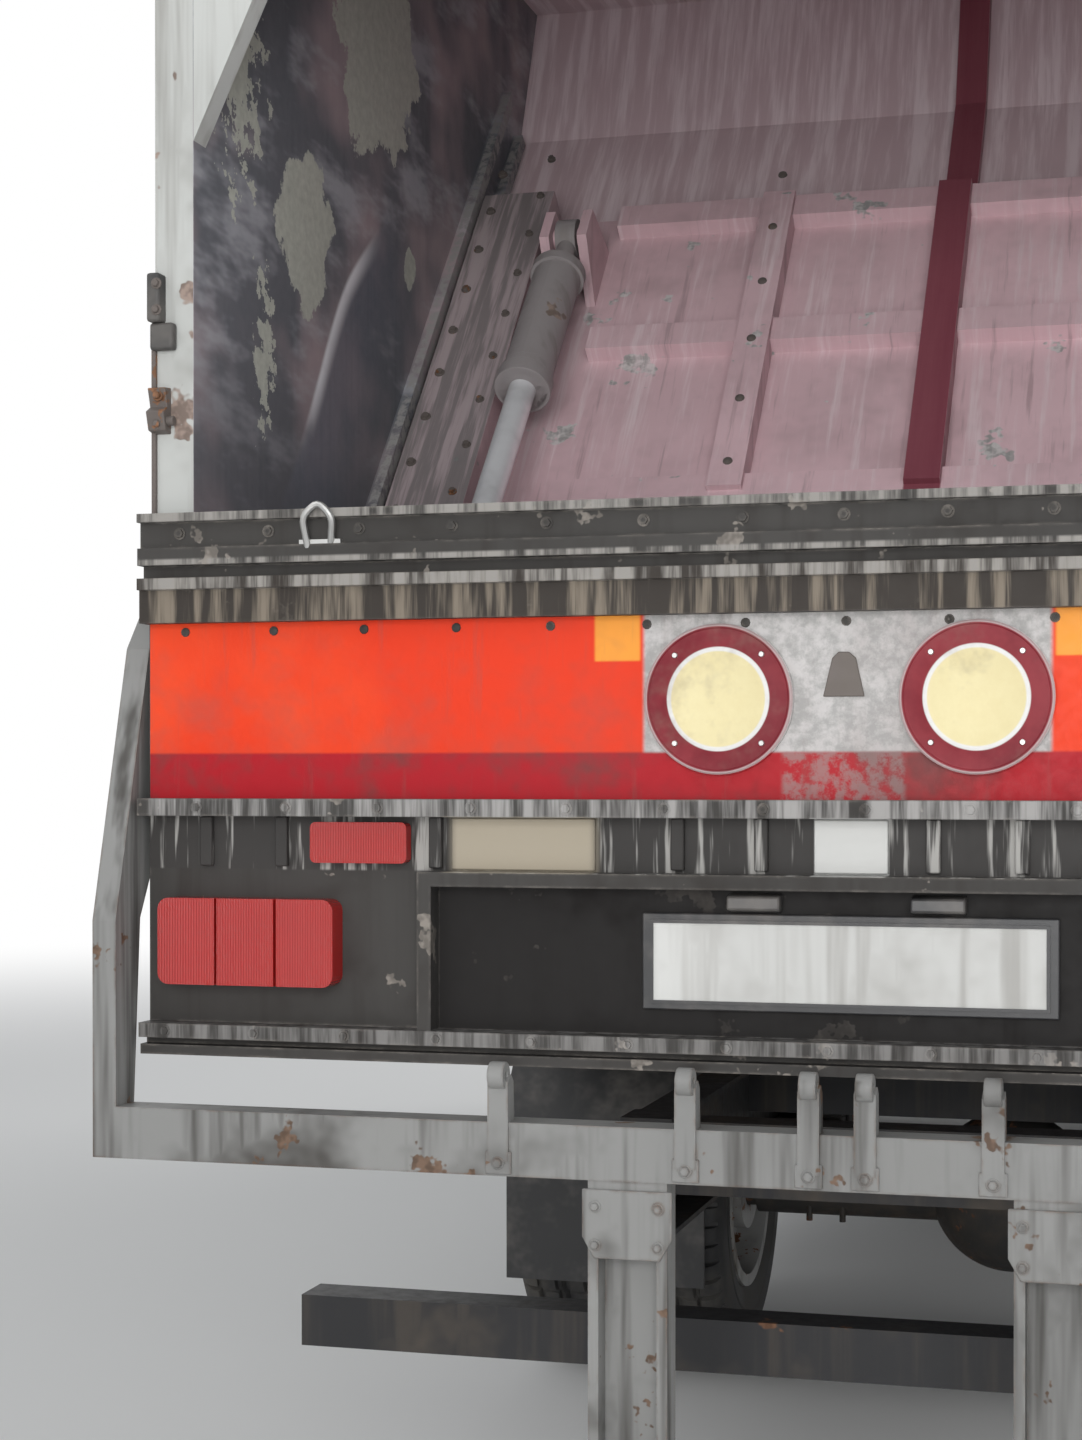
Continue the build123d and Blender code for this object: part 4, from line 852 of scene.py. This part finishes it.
def lifter_fittings():
    """Eye bolts behind the comb, clamps at the posts' heads, rubber buffers and the pivots' caps."""
    iron, rubber, caps = Shape(), Shape(), Shape()
    ring = [(-0.011, 0.006), (-0.011, 0.018), (0.011, 0.018), (0.011, 0.006)]
    clamp = [(-0.060, 0.762), (-0.060, 0.700), (-0.044, 0.672)]
    clamp += [(0.044, 0.672), (0.060, 0.700), (0.060, 0.762)]
    stop = [(0, 0), (0, 0.034), (0.022, 0.030), (0.028, 0.018), (0.028, 0)]
    cap = [(0, 0), (0, 0.042), (0.006, 0.042), (0.010, 0.034), (0.010, 0)]
    for x in (-0.448, -0.196, -0.036, 0.036, 0.196, 0.448):
        iron.lathe(ring, (x, BEAM_Y - 0.001, 0.906), sides=18)
        iron.box(about(x, 0.018), (BEAM_Y - 0.004, BEAM_Y + 0.006), (0.776, 0.806))
        iron.bolt((x, BEAM_Y - 0.004, 0.791), BACK, 0.007)
    for side in (-1, 1):
        x = side * 0.274
        iron.prism([(x + a, z) for a, z in clamp], BEAM_Y - 0.003, BEAM_Y + 0.004, "y")
        for dx in (-0.042, 0.042):
            for z in (0.69, 0.74):
                iron.bolt((x + dx, BEAM_Y - 0.003, z), BACK, 0.006)
        rubber.lathe(stop, (x, BEAM_Y + 0.004, 0.345), BACK, 24)
        for z in (1.20, 1.32):
            iron.bolt((side * 1.035, LIFT_PIVOT[0] - 0.05, z), (side, 0, 0), 0.009)
        caps.lathe(cap, (side * 1.037, *LIFT_PIVOT), (side, 0, 0), 28)
    iron.make("lifter_iron", "lifter_grey", "lifter", "lifter_paint", 0.0015)
    rubber.make("lifter_buffers", "guard_plastic", "lifter", "guard_plastic")
    caps.make("lifter_caps", "zinc", "tailgate", "lifter_paint")


# Packer


def carriage_fittings():
    """Bolts of the wear strips and rivets of the stiffeners."""
    bolts = Shape()
    cos, sin = math.cos(GUIDE_LEAN), math.sin(GUIDE_LEAN)
    normal = (0, -cos, sin)
    for side in (-1, 1):
        for i in range(9):
            up = 0.17 + i * 0.118
            bolts.bolt((side * 0.882, *guide_point(up, 0.096)), normal, 0.007)
            bolts.bolt((side * 0.790, *guide_point(up + 0.04, 0.096)), normal, 0.006)
    for x in (-0.33, 0.33):
        for i in range(6):
            bolts.rivet((x, *guide_point(0.30 + i * 0.16, 0.062)), normal, 0.009)
    bolts.make("carriage_bolts", "rust_bolt", "carriage", "packer_paint")


def cylinder_fittings(name, start, end, x, radius, span):
    """Gland nut, end collar and oil ports on a pair of barrels, with a pipe between the ports."""
    shape, pipes = Shape(), Shape()
    direction = Vector((0, end[0] - start[0], end[1] - start[1])).normalized()
    out = Vector((0, -direction.z, direction.y))
    for side in (-1, 1):
        foot = Vector((side * x, *start))
        near, far = foot + direction * span[0], foot + direction * span[1]
        for place, width in ((near, 0.022), (far, -0.030)):
            shape.bar(place, place + direction * width, radius + 0.006, 32)
        shape.bar(far - direction * 0.030, far - direction * 0.048, radius + 0.0035, 12)
        ports = (near + direction * 0.05, far - direction * 0.07)
        for place in ports:
            port = place + out * (radius - 0.004)
            shape.bar(port, port + out * 0.024, 0.013, 6)
            shape.bar(port + out * 0.020, port + out * 0.034, 0.009, 14)
        first, last = (place + out * (radius + 0.026) for place in ports)
        rise = out * 0.012
        path = [last, last + rise, last - direction * 0.06 + rise, first + direction * 0.05 + rise, first]
        pipes.pipe(path, 0.0055)
    shape.make(f"{name}_collars", "cylinder_grey", f"{name}_barrels", "cylinder_paint", 0.001)
    pipes.make(f"{name}_pipes", "zinc", f"{name}_barrels", "cylinder_paint")


# Wheels


def tyre_shape(shape, x_middle, y):
    """A road tyre: rounded walls with two ribs, and a tread of blocks parted by grooves."""
    groove = 0.011
    pitches = 56
    wall = [(-0.096, 0.2225), (-0.097, 0.240), (-0.107, 0.258), (-0.1085, 0.286), (-0.1105, 0.289)]
    wall += [(-0.1105, 0.293), (-0.1085, 0.296), (-0.1095, 0.326), (-0.1065, 0.346)]
    wall += [(-0.1045, 0.349), (-0.102, 0.360)]
    tread = [(-0.094, 0.3755, 1), (-0.080, 0.3845, 1), (-0.060, 0.3885, 1), (-0.057, 0.3885, 0)]
    tread += [(-0.050, 0.3885, 0), (-0.047, 0.3895, 2), (-0.017, 0.390, 2), (-0.014, 0.390, 0)]
    tread += [(-0.005, 0.390, 0), (-0.002, 0.390, 2)]
    full = [(px, pr, 3) for px, pr in wall] + tread
    full += [(-px, pr, kind) for px, pr, kind in reversed(full)][1:]
    rings = []
    for pitch in range(pitches):
        for fraction, cut in ((0.0, False), (0.70, False), (0.76, True), (0.94, True)):
            angle = 2 * math.pi * (pitch + fraction) / pitches
            ring = []
            for px, pr, kind in full:
                depth = groove if kind == 0 or (kind == 1 and cut) else 0.0
                if kind == 2 and cut:
                    depth = 0.004
                shift = 0.0025 * (1 if pitch % 2 else -1) if kind in (0, 2) else 0.0
                ring.append((x_middle + px + shift, *polar((y, AXLE_Z), pr - depth, angle)))
            rings.append(ring)
    return shape.sweep(rings, closed_path=True)


def wheels():
    """Treaded tyres in place of the plain ones, with nuts, valve stems and hub details."""
    for sign, side in SIDES:
        front = tyre_shape(Shape(), sign * FRONT_WHEEL_X, FRONT_Y)
        piece = front.make(f"tread_front_{side}", "tread_rubber", f"wheel_front_{side}", "tyre")
        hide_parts(f"tyre_front_{side}")
        twin = tyre_shape(tyre_shape(Shape(), sign * TWIN_X[0], REAR_Y), sign * TWIN_X[1], REAR_Y)
        piece = twin.make(f"tread_rear_{side}", "tread_rubber", f"wheel_rear_{side}", "tyre")
        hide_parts(f"tyres_rear_{side}")
        for place, y, face, stud in (("front", FRONT_Y, 0.934, 0.904), ("rear", REAR_Y, 0.925, 0.779)):
            nuts = Shape()
            for a in turns(8):
                at = polar((y, AXLE_Z), 0.118, a)
                nuts.bolt((sign * stud, *at), (sign, 0, 0), 0.014, 0.020)
                nuts.bar((sign * stud, *at), (sign * (stud + 0.030), *at), 0.0075, 12)
            for a in turns(6):
                at = polar((y, AXLE_Z), 0.046, a)
                nuts.bolt((sign * (face - 0.012), *at), (sign, 0, 0), 0.006, 0.009)
            valve = (sign * (face - 0.03), y + 0.196, AXLE_Z + 0.02)
            nuts.bar(valve, (valve[0] + sign * 0.035, valve[1] - 0.012, valve[2]), 0.0045, 10)
            nuts.make(f"nuts_{place}_{side}", "rust_bolt", f"wheel_{place}_{side}", "rim_paint")


# Cab


SCREEN_LOW = (3.2137, 1.560)
SCREEN_LEAN = math.atan2(230, 700)
SCREEN = [(-0.830, 0.0), (0.830, 0.0), (0.800, 0.550), (-0.800, 0.550)]
SIDE_WINDOW = [(2.190, 1.500), (2.940, 1.500), (2.790, 2.110), (2.190, 2.110)]
BACK_WINDOW = rectangle((-0.640, 0.640), (1.520, 2.060))
SEAT_X = (("driver", -0.575, 0.215, 0.900), ("middle", 0.0, 0.195, 1.046), ("far", 0.575, 0.215, 0.900))


def rounded_outline(corners, radius, steps=5):
    """A closed flat outline whose corners are arcs."""
    points = []
    count = len(corners)
    for i in range(count):
        before, corner, after = (Vector(corners[(i + k) % count]) for k in (-1, 0, 1))
        start, end = (before - corner).normalized(), (after - corner).normalized()
        half_angle = start.angle(end) / 2
        reach = radius / math.tan(half_angle)
        centre = corner + (start + end).normalized() * radius / math.sin(half_angle)
        first, last = corner + start * reach - centre, corner + end * reach - centre
        for k in range(steps + 1):
            points.append(centre + first.lerp(last, k / steps).normalized() * radius)
    return points


def rim_strip(shape, points, plane, across, off):
    """A strip round an outline. Across is its span outwards in the plane, off its span from the plane."""
    count = len(points)
    area = sum(points[i - 1].x * points[i].y - points[i].x * points[i - 1].y for i in range(count))
    sign = 1 if area > 0 else -1
    rings = []
    for i in range(count):
        run = (points[(i + 1) % count] - points[i - 1]).normalized()
        out = Vector((run.y, -run.x)) * sign
        places = ((points[i] + out * side, height) for side, height in rectangle(across, off))
        rings.append([plane(*at, height) for at, height in places])
    return shape.sweep(rings, closed_path=True)


def on_screen(x, rise, off):
    """A place on the windscreen's slanted plane, from X and the height over its lower edge."""
    sin, cos = math.sin(SCREEN_LEAN), math.cos(SCREEN_LEAN)
    return x, SCREEN_LOW[0] - rise * sin / cos + off * cos, SCREEN_LOW[1] + rise + off * sin


def window_seals():
    """Rubber seals round the panes, with a wiping strip under each door's pane."""
    seal = Shape()
    rim_strip(seal, rounded_outline(SCREEN, 0.070), on_screen, (-0.022, 0.014), (-0.034, 0.005))
    back = rounded_outline(BACK_WINDOW, 0.070)
    rim_strip(seal, back, lambda a, b, h: (a, 1.640 - h, b), (-0.018, 0.012), (-0.030, 0.004))
    seal.make("screen_seals", "grille_black", "cab", "grille_plastic")
    for side, name in SIDES:
        seal = Shape()
        pane = rounded_outline(SIDE_WINDOW, 0.045)
        rim_strip(seal, pane, lambda a, b, h: (side * (0.950 + h), a, b), (-0.014, 0.012), (-0.030, 0.003))
        seal.box(on(side, 0.946, 0.9535), (2.205, 2.935), (1.482, 1.489))
        seal.make(f"window_seal_{name}", "grille_black", f"door_{name}", "grille_plastic")


def wipers():
    """Two wiper arms with their blades, parked along the lower edge of the windscreen."""
    arms, rubber = Shape(), Shape()
    for pivot in (-0.42, 0.30):
        knee = on_screen(pivot + 0.10, -0.01, 0.030)
        start, end = on_screen(pivot + 0.02, 0.022, 0.008), on_screen(pivot + 0.52, 0.070, 0.008)
        arms.bar(on_screen(pivot, -0.045, -0.010), on_screen(pivot, -0.045, 0.032), 0.014, 16, 0.011)
        arms.bar(on_screen(pivot, -0.045, 0.026), knee, 0.0065, 8)
        arms.bar(knee, on_screen(pivot + 0.30, 0.055, 0.012), 0.0055, 8, 0.004)
        arms.bar(start, end, 0.005, 6)
        first, last = on_screen(pivot + 0.02, 0.022, -0.002), on_screen(pivot + 0.52, 0.070, -0.002)
        rubber.bar(first, last, 0.006, 4)
    arms.make("wiper_arms", "grille_black", "cab", "grille_plastic")
    rubber.make("wiper_blades", "guard_plastic", "cab", "grille_plastic")


def cab_lamps():
    """Bezels, reflector rings and amber indicators over the plain lamps, and fog lamps in the bumper."""
    bezel, ring, amber, fog = Shape(), Shape(), Shape(), Shape()
    reflector = [(0, 0.036), (0, 0.045), (0.004, 0.045), (0.006, 0.042), (0.004, 0.036)]
    bulb = [(0, 0.001), (0, 0.012), (0.004, 0.009), (0.006, 0.001)]
    fog_lens = [(-0.004, 0.001), (-0.004, 0.040), (0.012, 0.038), (0.016, 0.030), (0.017, 0.001)]
    for side in (-1, 1):
        lamp = rectangle((side * 0.590, side * 0.795), (0.745, 0.875))
        edge = rounded_outline(lamp, 0.028)
        rim_strip(bezel, edge, lambda a, b, h: (a, 3.268 + h, b), (-0.006, 0.010), (-0.016, 0.036))
        mark = [(0.807, 0.745), (0.875, 0.752), (0.875, 0.868), (0.807, 0.875)]
        mark = [(side * x, z) for x, z in mark]
        amber.prism(rounded_outline(mark, 0.014), 3.290, 3.2995, "y")
        for x in (0.643, 0.742):
            centre = (side * x, 3.299, 0.810)
            ring.lathe(reflector, centre, FORWARD, 40)
            ring.lathe(bulb, centre, FORWARD, 20)
        fog.lathe(fog_lens, (side * 0.710, 3.330, 0.475), FORWARD, 32)
    bezel.make("lamp_bezels", "grille_black", "cab", "grille_plastic", 0.0015)
    ring.make("lamp_rings", "zinc", "cab", "lamp_lens")
    amber.make("indicators", "amber_lens", "cab", "beacon_lens", 0.002)
    fog.make("fog_lamps", "clear_lens", "chassis", "lamp_lens")


def front_y(z):
    """The front panel's Y at a height, on its two slanted planes."""
    if z < 1.250:
        return 3.250 + (z - 0.700) * 0.035 / 0.550
    return 3.285 - (z - 1.250) * 0.045 / 0.230


def front_seams():
    """The service flap's dark seam with its two latches, and grab handles under the windscreen."""
    seam, steel = Shape(), Shape()
    low, high, half = 0.885, 1.455, 0.700
    heights = [low, 1.250, high]
    for side in (-1, 1):
        outer = [(front_y(z) + 0.0012, z) for z in heights]
        inner = [(front_y(z) - 0.003, z) for z in reversed(heights)]
        seam.prism(outer + inner, *on(side, half - 0.002, half + 0.002))
        latch = rectangle((side * 0.42, side * 0.49), (1.395, 1.425))
        seam.prism(rounded_outline(latch, 0.008), *about(front_y(1.41), 0.006), "y")
        foot = front_y(1.505) - 0.003
        places = ((0.50, foot), (0.50, foot + 0.038), (0.80, foot + 0.038), (0.80, foot))
        steel.pipe([(side * x, y, 1.510) for x, y in places], 0.008, 12)
    for z in (low, high):
        seam.box((-half, half), (front_y(z) - 0.003, front_y(z) + 0.0012), about(z, 0.002))
    seam.make("front_seams", "grille_black", "cab", "grille_plastic")
    steel.make("front_handles", "grille_black", "cab", "guard_metal")


def door_trim():
    """A dark cup behind each pull handle, a lock and a rubbing strip along the door."""
    for side, name in SIDES:
        trim = Shape()
        cup = rounded_outline(rectangle((2.182, 2.318), (1.366, 1.434)), 0.02)
        trim.prism(cup, *on(side, 0.948, 0.9515))
        trim.bar((side * 0.949, 2.250, 1.340), (side * 0.9535, 2.250, 1.340), 0.009, 20)
        trim.prism(rectangle((2.150, 2.975), (1.150, 1.186)), *on(side, 0.949, 0.958))
        trim.make(f"door_trim_{name}", "grille_black", f"door_{name}", "grille_plastic", 0.002)


def cab_trim():
    """Arch trims, grab handles, tread plates in the steps, mirror glass and vents."""
    trim, steel, glass = Shape(), Shape(), Shape()
    section = ((0.464, 0.944), (0.492, 0.944), (0.488, 0.9585), (0.470, 0.9600))
    rail = ((0.945, 1.16), (0.982, 1.17), (0.982, 1.80), (0.945, 1.81))
    for side in (-1, 1):
        rings = []
        for degrees in spaced(31, 29, 151):
            a = math.radians(degrees)
            rings.append([(side * x, *polar((FRONT_Y, AXLE_Z), r, a)) for r, x in section])
        trim.sweep(rings)
        steel.pipe([(side * x, 1.86, z) for x, z in rail], 0.011, 12)
        for z in (1.16, 1.81):
            steel.bar((side * 0.948, 1.86, z), (side * 0.954, 1.86, z), 0.022, 16)
        for k in range(9):
            y = 2.785 + k * 0.031
            steel.box(on(side, 0.800, 0.942), (y, y + 0.010), (0.664, 0.669))
        for k in range(5):
            z = 1.14 + k * 0.026
            trim.box(on(side, 0.943, 0.9535), (1.70, 1.82), (z, z + 0.012))
        mirror = rectangle((side * 1.002, side * 1.128), (1.575, 1.885))
        face = rounded_outline(mirror, 0.022)
        glass.prism(face, MIRROR_BACK - 0.0015, MIRROR_BACK + 0.002, "y")
    for k in range(7):
        x = -0.54 + k * 0.18
        trim.box(about(x, 0.07), (3.262, 3.2745), (0.700, 0.706))
    trim.make("cab_trim", "guard_plastic", "cab", "bumper_plastic")
    steel.make("cab_handles", "zinc", "cab", "guard_metal")
    glass.make("mirror_glass", "mirror_glass", "cab", "rod_chrome")


def cushion(welts, name, centre, half, lean, channels, crown):
    """A crowned pad with pulled-in sides and sewn channels. Its piping seam goes into welts."""
    turn = Matrix.Rotation(lean, 4, "X")

    def place(p):
        """A place on the rounded form, from a place on the surface of a cube."""
        power = 5.0
        norm = sum(abs(c) ** power for c in p) ** (1 / power)
        x, y, z = (c / norm for c in p)
        swell = (1 - x * x) * (1 - y * y)
        x, y = x * (1 - 0.035 * (1 - y * y)), y * (1 - 0.035 * (1 - x * x))
        height = z * half[2] + crown * swell * (1 if z > 0 else 0.15)
        if z > 0.3:
            sewn = sum(0.010 * math.exp(-(((x - c) * half[0]) / 0.007) ** 2) for c in channels)
            height -= sewn * (1 - y ** 8)
        return Vector(centre) + turn @ Vector((x * half[0], y * half[1], height))

    pad = Shape()
    bmesh.ops.create_cube(pad.mesh, size=2.0)
    bmesh.ops.subdivide_edges(pad.mesh, edges=pad.mesh.edges, cuts=22, use_grid_fill=True)
    for vert in pad.mesh.verts:
        vert.co = place(vert.co)
    piece = pad.make(name, "seat_cloth", "cab", "seat_fabric", angle=80)
    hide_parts("seats")
    rim = []
    for a in turns(72):
        p = Vector((math.cos(a), math.sin(a), 0.0))
        p /= max(abs(p.x), abs(p.y))
        rim.append(place(Vector((p.x, p.y, 0.62))))
    rings = []
    for i, at in enumerate(rim):
        one, two = axes_of(rim[(i + 1) % len(rim)] - rim[i - 1])[1:]
        rings.append(circle(at, one, two, 0.0035, 8))
    welts.sweep(rings, closed_path=True)


def seats():
    """Three seats: pads on plinths, each with a back and a head rest."""
    frames, welts = Shape(), Shape()
    upright = math.radians(-82)
    channels = (-0.45, 0.45)
    for name, x, half_x, floor in SEAT_X:
        pads = (
            ("seat_cushion", (x, 2.245, 1.105), (half_x, 0.215, 0.060), 0.03, channels, 0.02),
            ("seat_back", (x, 1.915, 1.420), (half_x, 0.225, 0.058), upright, channels, 0.02),
            ("head_rest", (x, 1.862, 1.722), (half_x * 0.62, 0.062, 0.042), upright, (), 0.014),
        )
        for pad, *how in pads:
            cushion(welts, f"{pad}_{name}", *how)
        frames.box((x - half_x + 0.03, x + half_x - 0.03), (2.07, 2.42), (floor, 1.050))
        for side in (-1, 1):
            recliner = x + side * (half_x - 0.02)
            frames.bar((recliner, 2.05, 1.075), (recliner, 1.935, 1.14), 0.014, 10)
            frames.bar((x + side * 0.05, 1.872, 1.60), (x + side * 0.05, 1.866, 1.70), 0.006, 8)
    welts.make("seat_piping", "guard_plastic", "cab", "seat_fabric", angle=80)
    frames.make("seat_frames", "guard_plastic", "cab", "interior_plastic", 0.004)


# Load body and underside


def pin_cap(shape, side, place):
    """A lift cylinder's pin, from the boss through the eye to a cap outside it."""
    shape.bar((side * 0.988, *place), (side * 1.062, *place), 0.0105, 20)
    cap = [(0, 0), (0, 0.024), (0.006, 0.024), (0.009, 0.018), (0.009, 0)]
    shape.lathe(cap, (side * 1.060, *place), (side, 0, 0), 24)


def body_fittings():
    """Side marker lamps, roof straps, rivets and the lift cylinders' lower pins on the body."""
    amber, rivets, pins = Shape(), Shape(), Shape()
    for side in (-1, 1):
        for y in (-1.95, -0.55, 0.35, 1.25):
            face = [(y - 0.045, 0.972), (y + 0.045, 0.972), (y + 0.040, 1.004), (y - 0.040, 1.004)]
            amber.prism(face, *on(side, 0.985, 1.001))
        for y in spaced(24, -1.42, 1.42):
            rivets.rivet((side * 0.9885, y, 2.870), (side, 0, 0), 0.006)
        pin_cap(pins, side, CYLINDER_FOOT)
    for y in (-1.05, -0.45, 0.15, 0.75, 1.30):
        rivets.box((-0.900, 0.900), about(y, 0.035), (2.949, 2.956))
        for side in (-1, 1):
            for x in (0.15, 0.45, 0.75):
                rivets.rivet((side * x, y, 2.956), (0, 0, 1), 0.006)
    amber.make("side_markers", "amber_lens", "chassis", "beacon_lens", 0.003)
    rivets.make("body_rivets", "body_white", "chassis", "body_paint")
    pins.make("body_pins", "rust_bolt", "chassis", "body_paint")


def tail_fittings():
    """The seal along the tailgate's joint, its latches, pin caps, roof straps and side reflectors."""
    seal, iron, red, straps = Shape(), Shape(), Shape(), Shape()
    for y in (-1.90, -2.35):
        straps.box((-0.880, 0.880), about(y, 0.035), (2.959, 2.966))
    low, top = (-2.2085, 0.915), (-1.5105, 2.955)
    edge = [(low[0] - 0.001, low[1]), (low[0] + 0.007, low[1])]
    edge += [(top[0] + 0.007, top[1]), (top[0] - 0.001, top[1])]
    for side in (-1, 1):
        seal.prism(edge, *on(side, 0.936, 0.984))
        for share in (0.10, 0.44):
            y = low[0] + (top[0] - low[0]) * share
            z = low[1] + (top[1] - low[1]) * share
            claw = [(-0.115, -0.020), (-0.010, -0.024), (0.052, -0.010), (0.056, 0.022)]
            claw += [(0.030, 0.024), (0.026, 0.012), (-0.012, 0.016), (-0.115, 0.020)]
            iron.prism([(y + a, z + b) for a, b in claw], *on(side, 0.9945, 1.0065))
            iron.bar((side * 0.985, y - 0.085, z), (side * 1.020, y - 0.085, z), 0.016, 20)
            iron.bolt((side * 1.018, y - 0.085, z), (side, 0, 0), 0.012)
        pin_cap(iron, side, CYLINDER_EYE)
        red.prism(rectangle((-2.75, -2.65), (1.585, 1.615)), *on(side, 0.9895, 0.996))
    seal.make("tail_seals", "guard_plastic", "tailgate", "guard_plastic")
    iron.make("tail_latches", "rust_bolt", "tailgate", "tail_paint", 0.0015)
    red.make("tail_reflectors", "red_lens", "tailgate", "tail_lamp", 0.002)
    straps.make("tail_straps", "tail_top", "tailgate", "tail_paint", 0.0015)


def undercarriage():
    """Air tank with straps, the fuel tank's and silencer's straps, and the spring clamps."""
    tank, iron = Shape(), Shape()
    y_low, length = -0.62, 0.60
    profile = [(0, 0.001), (0, 0.055), (0.012, 0.088), (0.036, 0.105), (0.060, 0.108)]
    profile += [(length - d, r) for d, r in reversed(profile)]
    tank.lathe(profile, (-0.600, y_low, 0.640), FORWARD, 36)
    for y in (-0.50, -0.14):
        strap = [(-0.016, 0.107), (-0.016, 0.111), (0.016, 0.111), (0.016, 0.107)]
        iron.lathe(strap, (-0.600, y, 0.640), FORWARD, 36)
        iron.box((-0.520, -0.400), about(y, 0.016), (0.690, 0.730))
    for y in (0.45, 0.95):
        iron.box((-0.834, -0.829), about(y, 0.020), (0.470, 0.710))
        iron.box((-0.780, -0.480), about(y, 0.020), (0.7595, 0.764))
        iron.box((-0.780, -0.480), about(y, 0.020), (0.416, 0.4205))
    for y in (-0.25, 0.35):
        strap = [(-0.014, 0.114), (-0.014, 0.119), (0.014, 0.119), (0.014, 0.114)]
        iron.lathe(strap, (0.620, y, 0.560), FORWARD, 36)
    for y_axle, bottom, top in ((FRONT_Y, 0.340, 0.504), (REAR_Y, 0.312, 0.546)):
        for side in (-1, 1):
            for y in about(y_axle, 0.050):
                for x in (side * 0.326, side * 0.400):
                    iron.bar((x, y, bottom), (x, y, top), 0.007, 8)
                iron.bar((side * 0.326, y, top), (side * 0.400, y, top), 0.007, 8)
    tank.make("air_tank", "chassis_black", "chassis", "chassis_paint")
    iron.make("underside_iron", "axle_black", "chassis", "axle_paint")


window_seals()
wipers()
cab_lamps()
front_seams()
door_trim()
cab_trim()
seats()
body_fittings()
tail_fittings()
undercarriage()

discs()
number_plate()
sill_fittings()
band_plates()
pillar_fittings()
lifter_fittings()
carriage_fittings()
ANCHOR = guide_point(0.875, 0.111)
HINGE = guide_point(0.150, 0.0)
LUG = (HINGE[0] - 0.227, HINGE[1] - 0.035)
cylinder_fittings("packer", ANCHOR, LUG, 0.700, 0.044, (0.105, 0.451))
cylinder_fittings("tail", CYLINDER_FOOT, CYLINDER_EYE, CYLINDER_X, 0.034, (0.070, 1.230))
wheels()

# Camera, floor and light

CAMERA_PLACE = (0.451, -6.200, 1.299)
CAMERA_YAW = 14.78
CAMERA_PITCH = -0.4
CAMERA_LENS = 56.9
CAMERA_SHIFT = (-0.045, 0.050)
SENSOR = 36
SKY_STRENGTH = 0.5
FLOOR_HALF = 60
FLOOR_COLOUR = (0.84, 0.84, 0.83)
FLOOR_FADE = (5.0, 13.0)
LIGHT_AIM = Vector((0, 0, 1.3))
# Name, place, size and power of each soft lamp
LAMPS = [
    ("key", (-5.0, -7.0, 8.0), 5.0, 120),
    ("rear", (0.6, -9.0, 2.0), 3.5, 208),
    ("fill", (8.0, -3.0, 4.0), 6.0, 200),
    ("front", (5.0, 9.0, 6.5), 5.0, 420),
]


def make_camera():
    data = bpy.data.cameras.new("camera")
    data.lens = CAMERA_LENS
    data.sensor_width = SENSOR
    data.shift_x, data.shift_y = CAMERA_SHIFT
    camera = bpy.data.objects.new("camera", data)
    camera.location = CAMERA_PLACE
    camera.rotation_euler = (math.radians(90 + CAMERA_PITCH), 0, math.radians(CAMERA_YAW))
    bpy.context.scene.collection.objects.link(camera)
    bpy.context.scene.camera = camera


def make_world():
    world = bpy.data.worlds.new("studio")
    world.use_nodes = True
    world.node_tree.nodes.clear()
    graph = Graph(world.node_tree)
    soft = graph.node("Background", {"Color": (0.95, 0.97, 1.0), "Strength": SKY_STRENGTH})
    white = graph.node("Background", {"Color": (1, 1, 1)})
    graph.finish("OutputWorld", graph.seen_directly(), soft, white)
    bpy.context.scene.world = world


def make_floor():
    """A pale plain floor that fades to the white background away from the truck."""
    mesh = bpy.data.meshes.new("floor")
    corners = rectangle((-FLOOR_HALF, FLOOR_HALF), (-FLOOR_HALF, FLOOR_HALF))
    mesh.from_pydata([(x, y, 0) for x, y in corners], [], [(0, 1, 2, 3)])
    floor = bpy.data.objects.new("floor", mesh)
    bpy.context.scene.collection.objects.link(floor)
    material = bpy.data.materials.new("floor")
    material.use_nodes = True
    material.node_tree.nodes.clear()
    graph = Graph(material.node_tree)
    diffuse = graph.node("BsdfDiffuse", {"Color": FLOOR_COLOUR})
    glow = graph.node("Emission", {"Color": (1, 1, 1)})
    place = graph.node("TexCoord", {}).outputs["Object"]
    distance = graph.node("VectorMath", {0: place}, operation="LENGTH").outputs["Value"]
    fade = graph.product(graph.step(distance, *FLOOR_FADE), graph.seen_directly())
    graph.finish("OutputMaterial", fade, diffuse, glow)
    mesh.materials.append(material)


def make_lights():
    """Soft lamps aimed at the truck's middle."""
    for name, place, size, power in LAMPS:
        data = bpy.data.lights.new(name, "AREA")
        data.size = size
        data.energy = power
        lamp = bpy.data.objects.new(name, data)
        lamp.location = place
        lamp.rotation_euler = (LIGHT_AIM - Vector(place)).to_track_quat("-Z", "Y").to_euler()
        bpy.context.scene.collection.objects.link(lamp)


make_camera()
make_world()
make_floor()
make_lights()
bpy.context.scene.view_settings.view_transform = "Standard"
bpy.context.scene.cycles.max_bounces = 6
bpy.context.scene.cycles.diffuse_bounces = 2
bpy.context.scene.cycles.glossy_bounces = 3
